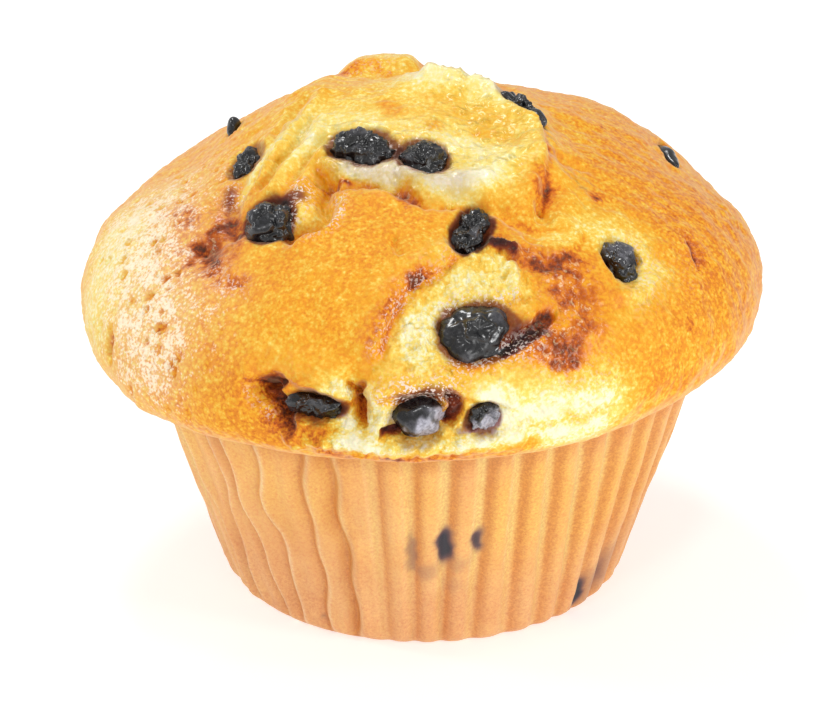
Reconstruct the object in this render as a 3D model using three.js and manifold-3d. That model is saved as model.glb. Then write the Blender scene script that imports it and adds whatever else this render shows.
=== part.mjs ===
// A berry muffin in its fluted paper case.
//
// Millimetres, +Z up, origin at the centre of the base, front towards -Y.
// Places on the crust are [azimuth, tilt] in degrees: azimuth about +Z from +X,
// tilt from 0 at the crown to 90 where the cap is widest.

import * as THREE from "three";
import { mergeVertices } from "three/addons/utils/BufferGeometryUtils.js";
import Module from "manifold-3d";

const wasm = await Module();
wasm.setup();

// ---- driving dimensions, mm and degrees ----

const BASE_RADIUS = 25;
const CASE_HEIGHT = 31;
const CASE_RIM_RADIUS = 35.3;
const CASE_THICKNESS = 0.4;
const FLUTE_COUNT = 44;
const FLUTE_DEPTH = 1.1;
const FLUTE_START = 1.5;
const FLUTE_WANDER = 0.35;
const GAP = 0.3;

const CAP_RADIUS = 42.3;
const CAP_WIDEST_Z = 37.5;
const CAP_DOME_HEIGHT = 21;
const CAP_LEAN = 1;
const CAP_CURL_RADIUS = 4.5;
const CAP_UNDERSIDE_Z = 31.6;
const ROOF_RADIUS = 36.4;

const CAKE_COLUMNS = 88;
const DOME_ROWS = 18;
const CURL_ROWS = 5;
const WALL_ROWS = 2;
const FLUTE_COLUMNS = 4;
const BERRY_COLUMNS = 12;
const BERRY_ROWS = 8;
const BERRY_WRINKLE = 0.05;
const SLIVER_SIZE = 0.02;

// Uneven outline of the cap: [azimuth, spread, change of radius, droop of the edge].
const CAP_WAVES = [
  [-90, 50, -1.5, 0],
  [212, 24, 0.6, 1.3],
  [320, 28, -1.2, -0.4],
];

// Relief of the crust, along the crust's own normal: a round swell or a ridge fades like
// a bell, a slab has a flat top and steep sides. Negative heights are hollows and creases.
const RELIEF = [
  { form: "bell", route: [[135, 6]], reach: 19, height: 4.6 },
  { form: "bell", route: [[168, 49]], reach: 11, height: -1.1 },
  { form: "bell", route: [[13, 55]], reach: 10, height: -0.8 },
  { form: "bell", route: [[32, 40]], reach: 10, height: 1.7 },
  { form: "bell", route: [[149, 27]], reach: 7, height: 0.9 },
  { form: "bell", route: [[-105, 45]], reach: 13, height: 1.5 },
  { form: "bell", route: [[-60, 85]], reach: 13, height: 0.6 },
  { form: "bell", route: [[176, 72]], reach: 11, height: 0.9 },
  { form: "bell", route: [[4, 76]], reach: 10, height: 0.7 },
  { form: "slab", route: [[115, 22], [104, 20]], reach: 3.7, height: 2.8 },
  { form: "bell", route: [[-146, 33], [-157, 26], [171, 20], [140, 21]], reach: 3.2, height: 1 },
  { form: "bell", route: [[82, 7], [43, 10], [10, 15], [-28, 22], [-46, 30]], reach: 3.2, height: 1.6 },
  { form: "bell", route: [[-128, 22], [-105, 20], [-84, 24], [-66, 24], [-45, 21]], reach: 2.6, height: 1 },
  { form: "bell", route: [[-133, 25], [-110, 23], [-90, 27], [-70, 28], [-57, 38]], reach: 2, height: -1.3 },
  { form: "bell", route: [[-129, 27], [-121, 34], [-126, 40]], reach: 2, height: -1.3 },
  { form: "bell", route: [[-153, 36], [-143, 43], [-145, 50]], reach: 2.4, height: -1.2 },
  { form: "bell", route: [[-86, 44], [-95, 50], [-97, 64]], reach: 2.4, height: -0.9 },
  { form: "bell", route: [[-44, 30], [-52, 35]], reach: 2, height: -1.8 },
  { form: "slab", route: [[-84, 58]], reach: 5.2, height: -1.1 },
  { form: "slab", route: [[-117, 80], [-104, 84]], reach: 3.2, height: -1.8 },
  { form: "slab", route: [[-92, 85]], reach: 3.4, height: -1.3 },
  { form: "bell", route: [[-102, 74], [-100, 86]], reach: 2, height: -1.5 },
];

// Dried berries: place on the crust, size along, across and through, compass heading of
// the long axis in plan, and how far the middle lies under the crust.
const BERRIES = [
  { place: [-129.5, 16], size: [8.4, 5.8, 5.6], heading: -24, sink: 1.1 },
  { place: [-91, 16.5], size: [6.2, 6, 5.8], heading: -10, sink: 1.1 },
  { place: [-169, 31], size: [6.8, 3.9, 3.9], heading: 71, sink: 1 },
  { place: [-135, 38], size: [6.6, 6, 5.2], heading: -63, sink: 0.9 },
  { place: [-76, 35], size: [7.8, 4.3, 4.4], heading: 77, sink: 0.7 },
  { place: [-42.2, 52], size: [6.6, 4.6, 4.6], heading: -67, sink: 0.8 },
  { place: [-79.8, 61], size: [9.4, 7.6, 5.4], heading: 11, sink: 1.3 },
  { place: [4, 15.3], size: [8.6, 2.8, 2.8], heading: -52, sink: 0.5 },
  { place: [160, 35.5], size: [2.6, 1.8, 3], heading: 60, sink: 0 },
  { place: [17, 49.5], size: [6.2, 2.2, 2], heading: -70, sink: 0.3 },
  { place: [-109.2, 84], size: [7.4, 3.6, 3.6], heading: -20, sink: 0.8 },
  { place: [-90.8, 86.5], size: [6.6, 6, 5.2], heading: 0, sink: 1.1 },
  { place: [-80, 87], size: [4.2, 3.8, 3.6], heading: 10, sink: 0.8 },
];

// ---- small helpers ----

const radians = THREE.MathUtils.degToRad;
const bell = (distance, reach) => Math.exp(-((distance / reach) ** 2));
const slab = (distance, reach) => Math.exp(-((distance / reach) ** 4));
const FORMS = { bell, slab };

function bearingBetween(azimuth, centre) {
  return THREE.MathUtils.euclideanModulo(azimuth - centre + 180, 360) - 180;
}

// Merge the seams of a geometry and drop the triangles that a pole has collapsed.
function welded(geometry) {
  geometry.deleteAttribute("normal");
  geometry.deleteAttribute("uv");
  const merged = mergeVertices(geometry, 1e-4);
  const index = merged.index.array;
  const kept = [];
  for (let i = 0; i < index.length; i += 3) {
    const [a, b, c] = [index[i], index[i + 1], index[i + 2]];
    if (a !== b && b !== c && c !== a) {
      kept.push(a, b, c);
    }
  }
  merged.setIndex(kept);
  return merged;
}

function toManifold(geometry) {
  return new wasm.Manifold(
    new wasm.Mesh({
      numProp: 3,
      vertProperties: Float32Array.from(geometry.attributes.position.array),
      triVerts: Uint32Array.from(geometry.index.array),
    }),
  );
}

function fromManifold(solid) {
  const mesh = solid.getMesh();
  const geometry = new THREE.BufferGeometry();
  geometry.setAttribute("position", new THREE.BufferAttribute(mesh.vertProperties, 3));
  geometry.setIndex(Array.from(mesh.triVerts));
  return geometry;
}

// Revolve a section about Z, then put every vertex where place(row, azimuth) says.
function revolved(section, columns, place) {
  const geometry = new THREE.LatheGeometry(section, columns);
  const position = geometry.attributes.position;
  for (let i = 0; i < position.count; i++) {
    const row = i % section.length;
    const column = Math.floor(i / section.length) % columns;
    const point = place(row, (360 * column) / columns);
    position.setXYZ(i, point.x, point.y, point.z);
  }
  return welded(geometry);
}

// ---- the cap's main form ----

// Radius, height of the widest line, dome height and underside height at one azimuth.
function capSection(azimuth) {
  let radius = CAP_RADIUS;
  let droop = 0;
  for (const [centre, spread, swell, sag] of CAP_WAVES) {
    const share = bell(bearingBetween(azimuth, centre), spread);
    radius += swell * share;
    droop += sag * share;
  }
  const lean = CAP_LEAN * Math.cos(radians(azimuth));
  return {
    radius,
    widest: CAP_WIDEST_Z + lean - 0.7 * droop,
    dome: CAP_DOME_HEIGHT - lean + 0.7 * droop,
    underside: CAP_UNDERSIDE_Z - droop,
  };
}

// An ellipse from the crown to the widest line, then a small curl in under the edge.
function mainForm(azimuth, tilt) {
  const cap = capSection(azimuth);
  const angle = radians(Math.min(tilt, 90));
  let r = cap.radius * Math.sin(angle);
  let z = cap.widest + cap.dome * Math.cos(angle);
  if (tilt > 90) {
    const curl = radians(tilt - 90);
    r = cap.radius - CAP_CURL_RADIUS * (1 - Math.cos(curl));
    z = cap.widest - (cap.widest - cap.underside) * Math.sin(curl);
  }
  const turn = radians(azimuth);
  return new THREE.Vector3(r * Math.cos(turn), r * Math.sin(turn), z);
}

// Normal of the main form, from small steps along azimuth and tilt.
function mainNormal(azimuth, tilt) {
  const step = 0.5;
  const safe = THREE.MathUtils.clamp(tilt, 1, 178);
  const east = mainForm(azimuth + step, safe).sub(mainForm(azimuth - step, safe));
  const down = mainForm(azimuth, safe + step).sub(mainForm(azimuth, safe - step));
  return down.cross(east).normalize();
}

// ---- the crust's relief ----

const reliefRoutes = RELIEF.map(({ form, route, reach, height }) => {
  const points = route.map(([azimuth, tilt]) => mainForm(azimuth, tilt));
  const legs = points.slice(1).map((end, i) => new THREE.Line3(points[i], end));
  const lines = legs.length > 0 ? legs : [new THREE.Line3(points[0], points[0])];
  return { fade: FORMS[form], lines, reach, height };
});

function reliefAt(point) {
  const nearest = new THREE.Vector3();
  let height = 0;
  for (const feature of reliefRoutes) {
    const distances = feature.lines.map((line) =>
      line.closestPointToPoint(point, true, nearest).distanceTo(point),
    );
    height += feature.height * feature.fade(Math.min(...distances), feature.reach);
  }
  return height;
}

function crustPoint(azimuth, tilt) {
  const point = mainForm(azimuth, tilt);
  const edgeFade = THREE.MathUtils.smoothstep(180 - tilt, 0, 60);
  return point.addScaledVector(mainNormal(azimuth, tilt), edgeFade * reliefAt(point));
}

// ---- sub-parts ----

function caseRadius(z) {
  return BASE_RADIUS + ((CASE_RIM_RADIUS - BASE_RADIUS) * z) / CASE_HEIGHT;
}

// Depth of the fold at one azimuth: rounded crests and valleys of slightly uneven width.
function fluteDepth(azimuth, z) {
  const turn = radians(azimuth);
  const phase = FLUTE_COUNT * turn + FLUTE_WANDER * (Math.sin(3 * turn) + Math.sin(7 * turn + 1));
  const fade = THREE.MathUtils.smoothstep(z, 0, FLUTE_START);
  return 0.5 * FLUTE_DEPTH * (1 - Math.cos(phase)) * fade;
}

function paperCase() {
  const inner = CASE_THICKNESS;
  const section = [
    [0, 0],
    [BASE_RADIUS - FLUTE_DEPTH, 0],
    [caseRadius(FLUTE_START), FLUTE_START],
    [CASE_RIM_RADIUS, CASE_HEIGHT],
    [CASE_RIM_RADIUS - inner, CASE_HEIGHT],
    [caseRadius(FLUTE_START) - inner, FLUTE_START],
    [BASE_RADIUS - FLUTE_DEPTH - inner, inner],
    [0, inner],
  ].map(([r, z]) => new THREE.Vector2(r, z));
  const columns = FLUTE_COUNT * FLUTE_COLUMNS;
  return revolved(section, columns, (row, azimuth) => {
    const { x: r, y: z } = section[row];
    const folded = r > BASE_RADIUS - FLUTE_DEPTH ? r - fluteDepth(azimuth, z) : r;
    const turn = radians(azimuth);
    return new THREE.Vector3(folded * Math.cos(turn), folded * Math.sin(turn), z);
  });
}

// The cake fills the case up to its rim, spreads over it and rises to the crown.
function cake() {
  const inset = FLUTE_DEPTH + CASE_THICKNESS + GAP;
  const floorZ = CASE_THICKNESS + GAP;
  const roofZ = CAP_UNDERSIDE_Z;
  const stations = [{ r: 0, z: floorZ }];
  for (let i = 0; i < WALL_ROWS; i++) {
    const z = floorZ + ((roofZ - floorZ) * i) / WALL_ROWS;
    stations.push({ r: caseRadius(z) - inset, z });
  }
  stations.push({ r: caseRadius(CASE_HEIGHT) - inset, z: roofZ - 0.2 });
  stations.push({ r: ROOF_RADIUS, z: roofZ });
  for (let i = CURL_ROWS; i > 0; i--) {
    stations.push({ tilt: 90 + (90 * i) / CURL_ROWS });
  }
  for (let i = DOME_ROWS; i >= 0; i--) {
    stations.push({ tilt: (90 * i) / DOME_ROWS });
  }
  const section = stations.map(() => new THREE.Vector2(1, 0));
  return revolved(section, CAKE_COLUMNS, (row, azimuth) => {
    const { tilt, r, z } = stations[row];
    if (tilt === 0) {
      return crustPoint(0, 0);
    }
    if (tilt !== undefined) {
      return crustPoint(azimuth, tilt);
    }
    const turn = radians(azimuth);
    return new THREE.Vector3(r * Math.cos(turn), r * Math.sin(turn), z);
  });
}

// A wrinkled ellipsoid; grow widens it all round, to cut the pocket it lies in.
function berryShape([length, width, depth], phase, grow = 0) {
  const geometry = new THREE.SphereGeometry(1, BERRY_COLUMNS, BERRY_ROWS);
  const position = geometry.attributes.position;
  const half = new THREE.Vector3(length, width, depth).multiplyScalar(0.5).addScalar(grow);
  const point = new THREE.Vector3();
  for (let i = 0; i < position.count; i++) {
    point.fromBufferAttribute(position, i);
    const folds = Math.sin(5 * point.x + phase) * Math.cos(6 * point.y + 2 * phase);
    point.multiplyScalar(1 + BERRY_WRINKLE * folds).multiply(half);
    position.setXYZ(i, point.x, point.y, point.z);
  }
  return welded(geometry);
}

// Place and turn a berry: X along its length, Z out of the crust.
function berryMatrix({ place, heading, sink }) {
  const [azimuth, tilt] = place;
  const out = mainNormal(azimuth, tilt);
  const turn = radians(heading);
  const along = new THREE.Vector3(Math.cos(turn), Math.sin(turn), 0);
  along.addScaledVector(out, -along.dot(out)).normalize();
  const across = out.clone().cross(along);
  const centre = crustPoint(azimuth, tilt).addScaledVector(out, -sink);
  return new THREE.Matrix4().makeBasis(along, across, out).setPosition(centre);
}

// ---- materials ----

const crumbMaterial = () =>
  new THREE.MeshStandardMaterial({ color: 0xe2a04a, roughness: 0.6, metalness: 0 });
const paperMaterial = () =>
  new THREE.MeshStandardMaterial({ color: 0xd9a066, roughness: 0.7, metalness: 0 });
const berryMaterial = () =>
  new THREE.MeshStandardMaterial({ color: 0x1b1c24, roughness: 0.35, metalness: 0 });

// ---- assembly ----

function named(name, geometry, material) {
  const mesh = new THREE.Mesh(geometry, material);
  mesh.name = name;
  return mesh;
}

const group = new THREE.Group();

let crumb = toManifold(cake());
BERRIES.forEach((berry, i) => {
  const matrix = berryMatrix(berry);
  const pocket = berryShape(berry.size, i, GAP).applyMatrix4(matrix);
  crumb = crumb.subtract(toManifold(pocket));
  const mesh = named(`berry_${String(i + 1).padStart(2, "0")}`, berryShape(berry.size, i), berryMaterial());
  mesh.applyMatrix4(matrix);
  group.add(mesh);
});
group.add(named("cake", fromManifold(crumb.simplify(SLIVER_SIZE)), crumbMaterial()));
group.add(named("paper_case", paperCase(), paperMaterial()));

export default group;
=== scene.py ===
"""A berry muffin in its paper case: crust, berries, case and studio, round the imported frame."""

import collections
import functools
import math

import bpy
import numpy as np
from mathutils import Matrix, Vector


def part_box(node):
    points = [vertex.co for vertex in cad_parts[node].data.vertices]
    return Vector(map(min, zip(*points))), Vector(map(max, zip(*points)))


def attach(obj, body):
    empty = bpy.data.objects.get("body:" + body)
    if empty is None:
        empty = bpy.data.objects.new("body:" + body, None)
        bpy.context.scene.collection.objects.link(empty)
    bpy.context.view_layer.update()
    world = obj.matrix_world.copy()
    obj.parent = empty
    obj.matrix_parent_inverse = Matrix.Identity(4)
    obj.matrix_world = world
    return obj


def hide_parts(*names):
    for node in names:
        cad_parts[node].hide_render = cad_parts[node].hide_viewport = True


bl_info = {
    "name": "Berry muffin",
    "version": (1, 0, 0),
    "blender": (4, 5, 0),
    "location": "View3D > Sidebar > Muffin",
    "description": "Builds a baked muffin with dried berries in a fluted paper case",
    "category": "Add Mesh",
}

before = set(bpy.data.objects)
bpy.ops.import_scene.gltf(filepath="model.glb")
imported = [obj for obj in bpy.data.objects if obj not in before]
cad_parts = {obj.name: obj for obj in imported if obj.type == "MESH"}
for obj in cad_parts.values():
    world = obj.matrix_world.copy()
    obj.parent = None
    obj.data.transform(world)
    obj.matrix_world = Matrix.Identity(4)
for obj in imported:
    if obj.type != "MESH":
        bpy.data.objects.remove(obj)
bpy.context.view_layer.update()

MM = 0.001
FRONT = -90.0

# ---- sizes in millimetres, places in degrees: azimuth about +Z from +X, tilt down from the crown ----

CASE_HIGH = np.array(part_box("paper_case")[1]) / MM
CASE_HEIGHT = float(CASE_HIGH[2])
CASE_RIM_RADIUS = float(CASE_HIGH[0])
BASE_RADIUS = 25.0
CASE_FLARE = (CASE_RIM_RADIUS - BASE_RADIUS) / CASE_HEIGHT
MEAN_RADIUS = 30.0
FLUTE_COUNT = 44
FLUTE_DEPTH = 1.1
FLUTE_WANDER = 0.35
FLUTE_LEAN = math.radians(8.0)
CRUSHED_AZIMUTH = -130.0
CRUSHED_SPREAD = 30.0

# The case's base and rounded foot: height, share of the radius. Then the height and rows of its wall.
CASE_FOOT = ((0.0, 0.5), (0.0, 0.965), (0.25, 0.985), (0.7, 0.995), (1.2, 1.0))
CASE_FOOT_HEIGHT = 1.8
WALL_ROWS = 44

CAP_RADIUS = 42.3
CAP_WIDEST_Z = 37.5
CAP_DOME_HEIGHT = 21.0
CAP_LEAN = 1.0
CAP_CURL_RADIUS = 4.5
CAP_UNDERSIDE_Z = 31.6
ROOF_RADIUS = 36.4

# The cake inside the case: height of its floor, gap to the paper. Then the share of the cap edge's droop
# that its widest line takes, and how far above and below its middle a berry marks the crust.
CAKE_FLOOR_Z = 0.7
WALL_INSET = 2.3
WIDEST_SAG = 0.7
BERRY_BAND = 4.0

# Mesh rows under the cap's edge, and how much closer the columns stand in front, in radians.
CURL_ROWS = 20
CROWDING = 0.4

# Browning runs from 0 for raw crumb to 1 for burnt.
EVEN_GOLD = 0.53
DARKEST = 0.93

# The camera looks at AIM, in mm, and the softboxes face LIT_PLACE, in metres.
AIM = (-1.821, 0.0, 27.58)
LIT_PLACE = (0.0, 0.0, 0.035)

# Softboxes: name, side in metres, which power and what share of it, place in metres.
SOFTBOXES = (
    ("key_softbox", 0.10, "key", 1.0, (-0.20, -0.55, 0.42)),
    ("top_softbox", 0.12, "top", 1.0, (-0.10, 0.24, 0.62)),
    ("glint_softbox", 0.06, "glint", 1.0, (0.12, -0.22, 0.60)),
    ("right_softbox", 0.12, "fill", 1.0, (0.52, -0.30, 0.27)),
    ("left_softbox", 0.09, "fill", 0.6, (-0.50, 0.05, 0.30)),
    ("low_softbox", 0.25, "fill", 0.7, (0.22, -0.58, 0.11)),
)
TABLE_RINGS = (50.0, 300.0, 1000.0, 3000.0, 6000.0)
TABLE_COLUMNS = 96
TABLE_THICKNESS = 20.0

# Uneven outline of the cap: azimuth, spread, change of radius, droop of the edge.
CAP_WAVES = (
    (-90, 50, -1.5, 0.0),
    (212, 24, 0.6, 1.3),
    (320, 28, -1.2, -0.4),
)

# Main relief, the same as the solid's: form, reach, height, route of (azimuth, tilt).
MAIN_RELIEF = (
    ("bell", 19.0, 4.6, [(135, 6)]),
    ("bell", 11.0, -1.1, [(168, 49)]),
    ("bell", 10.0, -0.8, [(13, 55)]),
    ("bell", 10.0, 1.7, [(32, 40)]),
    ("bell", 7.0, 0.9, [(149, 27)]),
    ("bell", 13.0, 1.5, [(-105, 45)]),
    ("bell", 13.0, 0.6, [(-60, 85)]),
    ("bell", 11.0, 0.9, [(176, 72)]),
    ("bell", 10.0, 0.7, [(4, 76)]),
    ("slab", 3.7, 2.8, [(115, 22), (104, 20)]),
    ("bell", 3.2, 1.0, [(-146, 33), (-157, 26), (171, 20), (140, 21)]),
    ("bell", 3.2, 1.6, [(82, 7), (43, 10), (10, 15), (-28, 22), (-46, 30)]),
    ("bell", 2.6, 1.0, [(-128, 22), (-105, 20), (-84, 24), (-66, 24), (-45, 21)]),
    ("bell", 1.5, -1.3, [(-133, 25), (-110, 23), (-90, 27), (-70, 28), (-57, 38)]),
    ("bell", 1.6, -1.3, [(-129, 27), (-121, 34), (-126, 40)]),
    ("bell", 2.4, -1.2, [(-153, 36), (-143, 43), (-145, 50)]),
    ("bell", 2.0, -0.9, [(-86, 44), (-95, 50), (-97, 64)]),
    ("bell", 1.8, -1.8, [(-44, 30), (-52, 35)]),
    ("slab", 5.2, -1.1, [(-84, 58)]),
    ("slab", 3.2, -1.8, [(-117, 80), (-104, 84)]),
    ("slab", 3.4, -1.3, [(-92, 85)]),
    ("bell", 1.5, -1.5, [(-102, 74), (-100, 86)]),
)

# Finer relief: cracks, holes, dimples, thin ridges.
FINE_RELIEF = (
    ("bell", 2.4, -0.9, [(-130, 21), (-117, 20.5)]),
    ("bell", 2.2, -0.5, [(-104, 19.5), (-90, 21)]),
    ("bell", 0.7, -0.9, [(-135, 25), (-122, 25.5), (-109, 23.5), (-102, 24.2)]),
    ("bell", 0.9, -0.6, [(-98, 25), (-94, 27), (-84, 29), (-70, 28.5)]),
    ("bell", 0.8, -1.3, [(-129, 27), (-122, 32), (-121, 37), (-126, 40)]),
    ("bell", 0.7, 0.7, [(-117, 31), (-117, 38), (-122, 42)]),
    ("bell", 0.6, -1.6, [(-44, 29), (-50, 33)]),
    ("bell", 0.8, 0.5, [(-48, 28), (-55, 33)]),
    ("bell", 0.8, 1.2, [(-112.5, 77), (-108, 78), (-105, 80)]),
    ("bell", 0.8, 0.8, [(-112, 91), (-107, 92)]),
    ("bell", 0.9, 0.8, [(-97, 79), (-93, 77.5)]),
    ("bell", 1.0, 0.9, [(-107.5, 100), (-103, 103), (-97, 106), (-92, 104)]),
    ("slab", 0.9, -0.5, [(60, 9)]),
    ("slab", 0.6, -0.5, [(40, 9.5)]),
    ("bell", 0.7, 0.7, [(-148, 34), (-153, 28.6), (-162, 23.6), (-176, 19), (160, 17)]),
    ("bell", 0.5, -0.7, [(-146, 32.5), (-151, 27), (-160, 22), (-178, 18)]),
    ("bell", 0.7, 0.7, [(-142, 32), (-147, 26), (-156, 20), (-170, 16)]),
    ("bell", 0.5, -0.5, [(-139, 31), (-144, 24), (-152, 18)]),
    ("bell", 0.6, -0.8, [(-158, 34), (-164, 28), (-176, 23.5), (165, 20)]),
    ("bell", 0.6, 0.5, [(-136, 29), (-140, 24), (-146, 20)]),
    ("bell", 0.5, -0.8, [(-98, 38), (-96, 42)]),
    ("bell", 0.7, -0.9, [(-66, 59), (-68, 62), (-73, 64)]),
    ("bell", 0.7, 0.7, [(-70, 46), (-70, 52)]),
    ("bell", 1.0, 0.9, [(-69, 41), (-67, 42)]),
    ("bell", 0.6, -0.7, [(-61, 39), (-58, 42), (-61, 47)]),
    ("bell", 0.5, -0.6, [(-22, 58), (-25, 64)]),
    ("bell", 0.5, -0.8, [(-147, 49)]),
    ("bell", 0.7, 0.5, [(-50, 60), (-44, 63), (-38, 60)]),
    ("bell", 0.9, -0.8, [(-25, 26), (-20, 29)]),
)

# Cavities with steep sides, darker and stained inside: reach, depth, browning, juice, route. In the deep
# ones the browning is partly caramel and partly painted shade of the recess. The shallow ones are crisp
# caramel patches, and the one whose depth is below zero is a raised dark lump.
CAVITIES = (
    (1.2, 1.6, 0.33, 0.14, [(-118.0, 77.8), (-116.4, 77.0)]),
    (1.2, 1.8, 0.32, 0.12, [(-118.0, 80.5), (-116.2, 83.0), (-114.6, 86.5)]),
    (0.7, 1.6, 0.34, 0.12, [(-113.9, 88.0), (-112.6, 92.0)]),
    (0.45, 1.4, 0.16, 0.05, [(-103.2, 75.8), (-102.0, 77.6)]),
    (0.6, 1.8, 0.16, 0.08, [(-100.9, 75.2), (-101.6, 78.0), (-101.8, 81.0)]),
    (0.75, 2.2, 0.28, 0.10, [(-101.6, 82.0), (-101.0, 86.0), (-100.6, 89.0)]),
    (0.8, 2.0, 0.38, 0.25, [(-85.8, 79.0), (-85.0, 81.0), (-84.8, 84.0), (-85.6, 87.0)]),
    (0.5, 0.7, 0.36, 0.60, [(-96.4, 90.0), (-94.4, 91.0)]),
    (0.8, 0.4, 0.36, 0.25, [(-75.5, 68.0), (-72.0, 66.6), (-69.5, 64.6)]),
    (1.1, 0.5, 0.36, 0.10, [(-68.6, 63.0), (-66.4, 60.6)]),
    (0.8, 1.0, 0.28, 0.0, [(-154.6, 82.4), (-154.6, 85.8)]),
    (1.3, 0.3, 0.10, 0.12, [(-150.5, 38.5), (-146.0, 41.0), (-142.0, 42.5)]),
    (0.9, 0.2, 0.06, 0.00, [(-150.0, 49.5), (-146.5, 49.0)]),
    (1.1, 0.2, 0.05, 0.00, [(-142.0, 51.0), (-137.0, 54.0)]),
    (0.8, 0.2, 0.08, 0.00, [(-132.5, 53.5), (-129.0, 54.0)]),
    (0.5, 0.2, 0.06, 0.00, [(-88.5, 45.0), (-91.5, 46.5)]),
    (0.6, 0.2, 0.10, 0.00, [(-96.5, 54.0), (-97.8, 57.5)]),
    (0.5, 0.2, 0.10, 0.00, [(-99.0, 62.0), (-99.5, 65.0)]),
    (0.9, -0.5, 0.10, 0.25, [(-71.5, 39.5), (-68.5, 42.0)]),
    (0.8, 0.2, 0.14, 0.00, [(-64.5, 70.5), (-61.5, 68.0)]),
    (0.7, 0.2, 0.14, 0.00, [(-67.0, 73.5), (-63.5, 74.5)]),
    (0.6, 0.2, 0.12, 0.00, [(-62.5, 53.5), (-61.5, 58.5)]),
    (0.6, 0.2, 0.10, 0.00, [(-64.0, 47.0), (-58.5, 49.0)]),
    (0.7, 0.2, 0.12, 0.00, [(-58.5, 61.5), (-58.0, 65.0)]),
    (0.35, 0.3, 0.30, 0.00, [(-22.4, 57.5), (-24.0, 61.0), (-25.5, 65.0)]),
    (0.6, 0.9, 0.36, 0.0, [(-44.5, 49.0), (-45.8, 51.5), (-45.6, 54.0)]),
    (0.6, 0.9, 0.30, 0.0, [(-38.6, 51.0), (-38.8, 54.0)]),
)

# Ledges, where one layer of batter set over another: rise, softness of the edge, reach of the
# raised side, route. The raised side is on the left of the route, seen from outside.
LEDGES = (
    (
        0.9,
        0.22,
        2.4,
        [(-137, 23), (-122, 25.5), (-109, 23.5), (-98, 24.7), (-90, 27.5), (-79, 29.5), (-68, 28.5)],
    ),
    (1.5, 0.24, 3.0, [(-98, 67), (-96, 55), (-93, 48), (-88, 45), (-83, 43)]),
    (1.4, 0.34, 2.6, [(-46, 31), (-28, 23), (-7, 18), (18, 14), (43, 10), (82, 7)]),
    (0.8, 0.25, 2.6, [(-121, 77), (-114, 76), (-108, 79), (-103, 82)]),
    (0.8, 0.25, 2.4, [(-98, 80), (-92, 78), (-86, 79), (-80, 81), (-75, 84)]),
    (1.0, 0.25, 2.6, [(-74, 96), (-84, 101), (-93, 101), (-99, 97), (-106, 97), (-113, 99)]),
    (0.6, 0.30, 2.0, [(-75, 66), (-70, 62), (-66, 59)]),
    (0.5, 0.40, 2.5, [(-60, 34), (-55, 37), (-50, 39)]),
    (0.5, 0.35, 2.0, [(-60, 47), (-54, 46), (-47, 43)]),
)

# Open, crumbly places where the skin is broken: reach, strength, route.
TORN = (
    (4.0, 1.0, [(-91, 66), (-90, 58), (-84, 52), (-74, 51)]),
    (3.0, 0.8, [(-72, 42), (-70, 50)]),
    (3.6, 0.7, [(-76, 90), (-68, 92), (-62, 95)]),
    (2.6, 1.0, [(-111, 103), (-104, 107), (-97, 111), (-91, 110), (-83, 106)]),
    (2.0, 1.0, [(-104, 77), (-100, 79), (-97, 85)]),
    (1.4, 0.9, [(-119.5, 82), (-117, 89), (-113, 94)]),
    (2.0, 0.6, [(-150, 33), (-158, 27), (-170, 22)]),
    (1.8, 0.6, [(1, 61), (1, 67)]),
)

# Dried berries, the same as the solids: place, size along, across and through, compass heading
# of the long axis in plan. Then how deep the folds of the skin are against the usual, how wide they
# are in mm, how creased they are (0 for sharp crests, 1 for flat facets with sharp creases), how
# much juice ran out round it, and how far it is drawn in at the waist.
Berry = collections.namedtuple("Berry", "place size heading depth width crease halo waist")
BERRIES = (
    Berry((-129.5, 16), (8.4, 5.8, 5.6), -24, 1.2, 1.6, 0.2, 0.5, 0.0),
    Berry((-91, 16.5), (6.2, 6.0, 5.8), -10, 1.3, 1.6, 0.3, 0.55, 0.0),
    Berry((-169, 31), (6.8, 3.9, 3.9), 71, 0.9, 1.6, 0.2, 0.35, 0.4),
    Berry((-135, 38), (6.6, 6.0, 5.2), -63, 0.8, 2.2, 1.0, 0.7, 0.0),
    Berry((-76, 35), (7.8, 4.3, 4.4), 77, 1.1, 1.4, 0.1, 0.7, 0.6),
    Berry((-42.2, 52), (6.6, 4.6, 4.6), -67, 1.1, 1.4, 0.3, 0.1, 0.5),
    Berry((-79.8, 61), (9.4, 7.6, 5.4), 11, 1.5, 3.0, 0.6, 0.5, 0.0),
    Berry((4, 15.3), (8.6, 2.8, 2.8), -52, 1.5, 2.0, 1.0, 0.3, 0.0),
    Berry((160, 35.5), (2.6, 1.8, 3.0), 60, 0.7, 1.1, 0.5, 0.2, 0.0),
    Berry((17, 49.5), (6.2, 2.2, 2.0), -70, 0.8, 1.1, 0.5, 0.3, 0.0),
    Berry((-109.2, 84), (7.4, 3.6, 3.6), -20, 1.5, 1.8, 0.3, 0.4, 0.0),
    Berry((-90.8, 86.5), (6.6, 6.0, 5.2), 0, 1.3, 1.5, 0.5, 0.28, 0.0),
    Berry((-80, 87), (4.2, 3.8, 3.6), 10, 1.7, 1.7, 0.3, 0.45, 0.0),
)
CALYX_BERRY = 7

# Pale bloom on a berry: number, direction from its middle (along, across, out), strength.
BLOOM = (
    (12, (0.6, -0.65, 0.5), 1.0),
    (13, (0.1, -0.8, 0.5), 1.0),
    (13, (0.7, -0.3, 0.6), 0.7),
    (6, (-0.7, 0.1, 0.6), 0.2),
)

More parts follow.
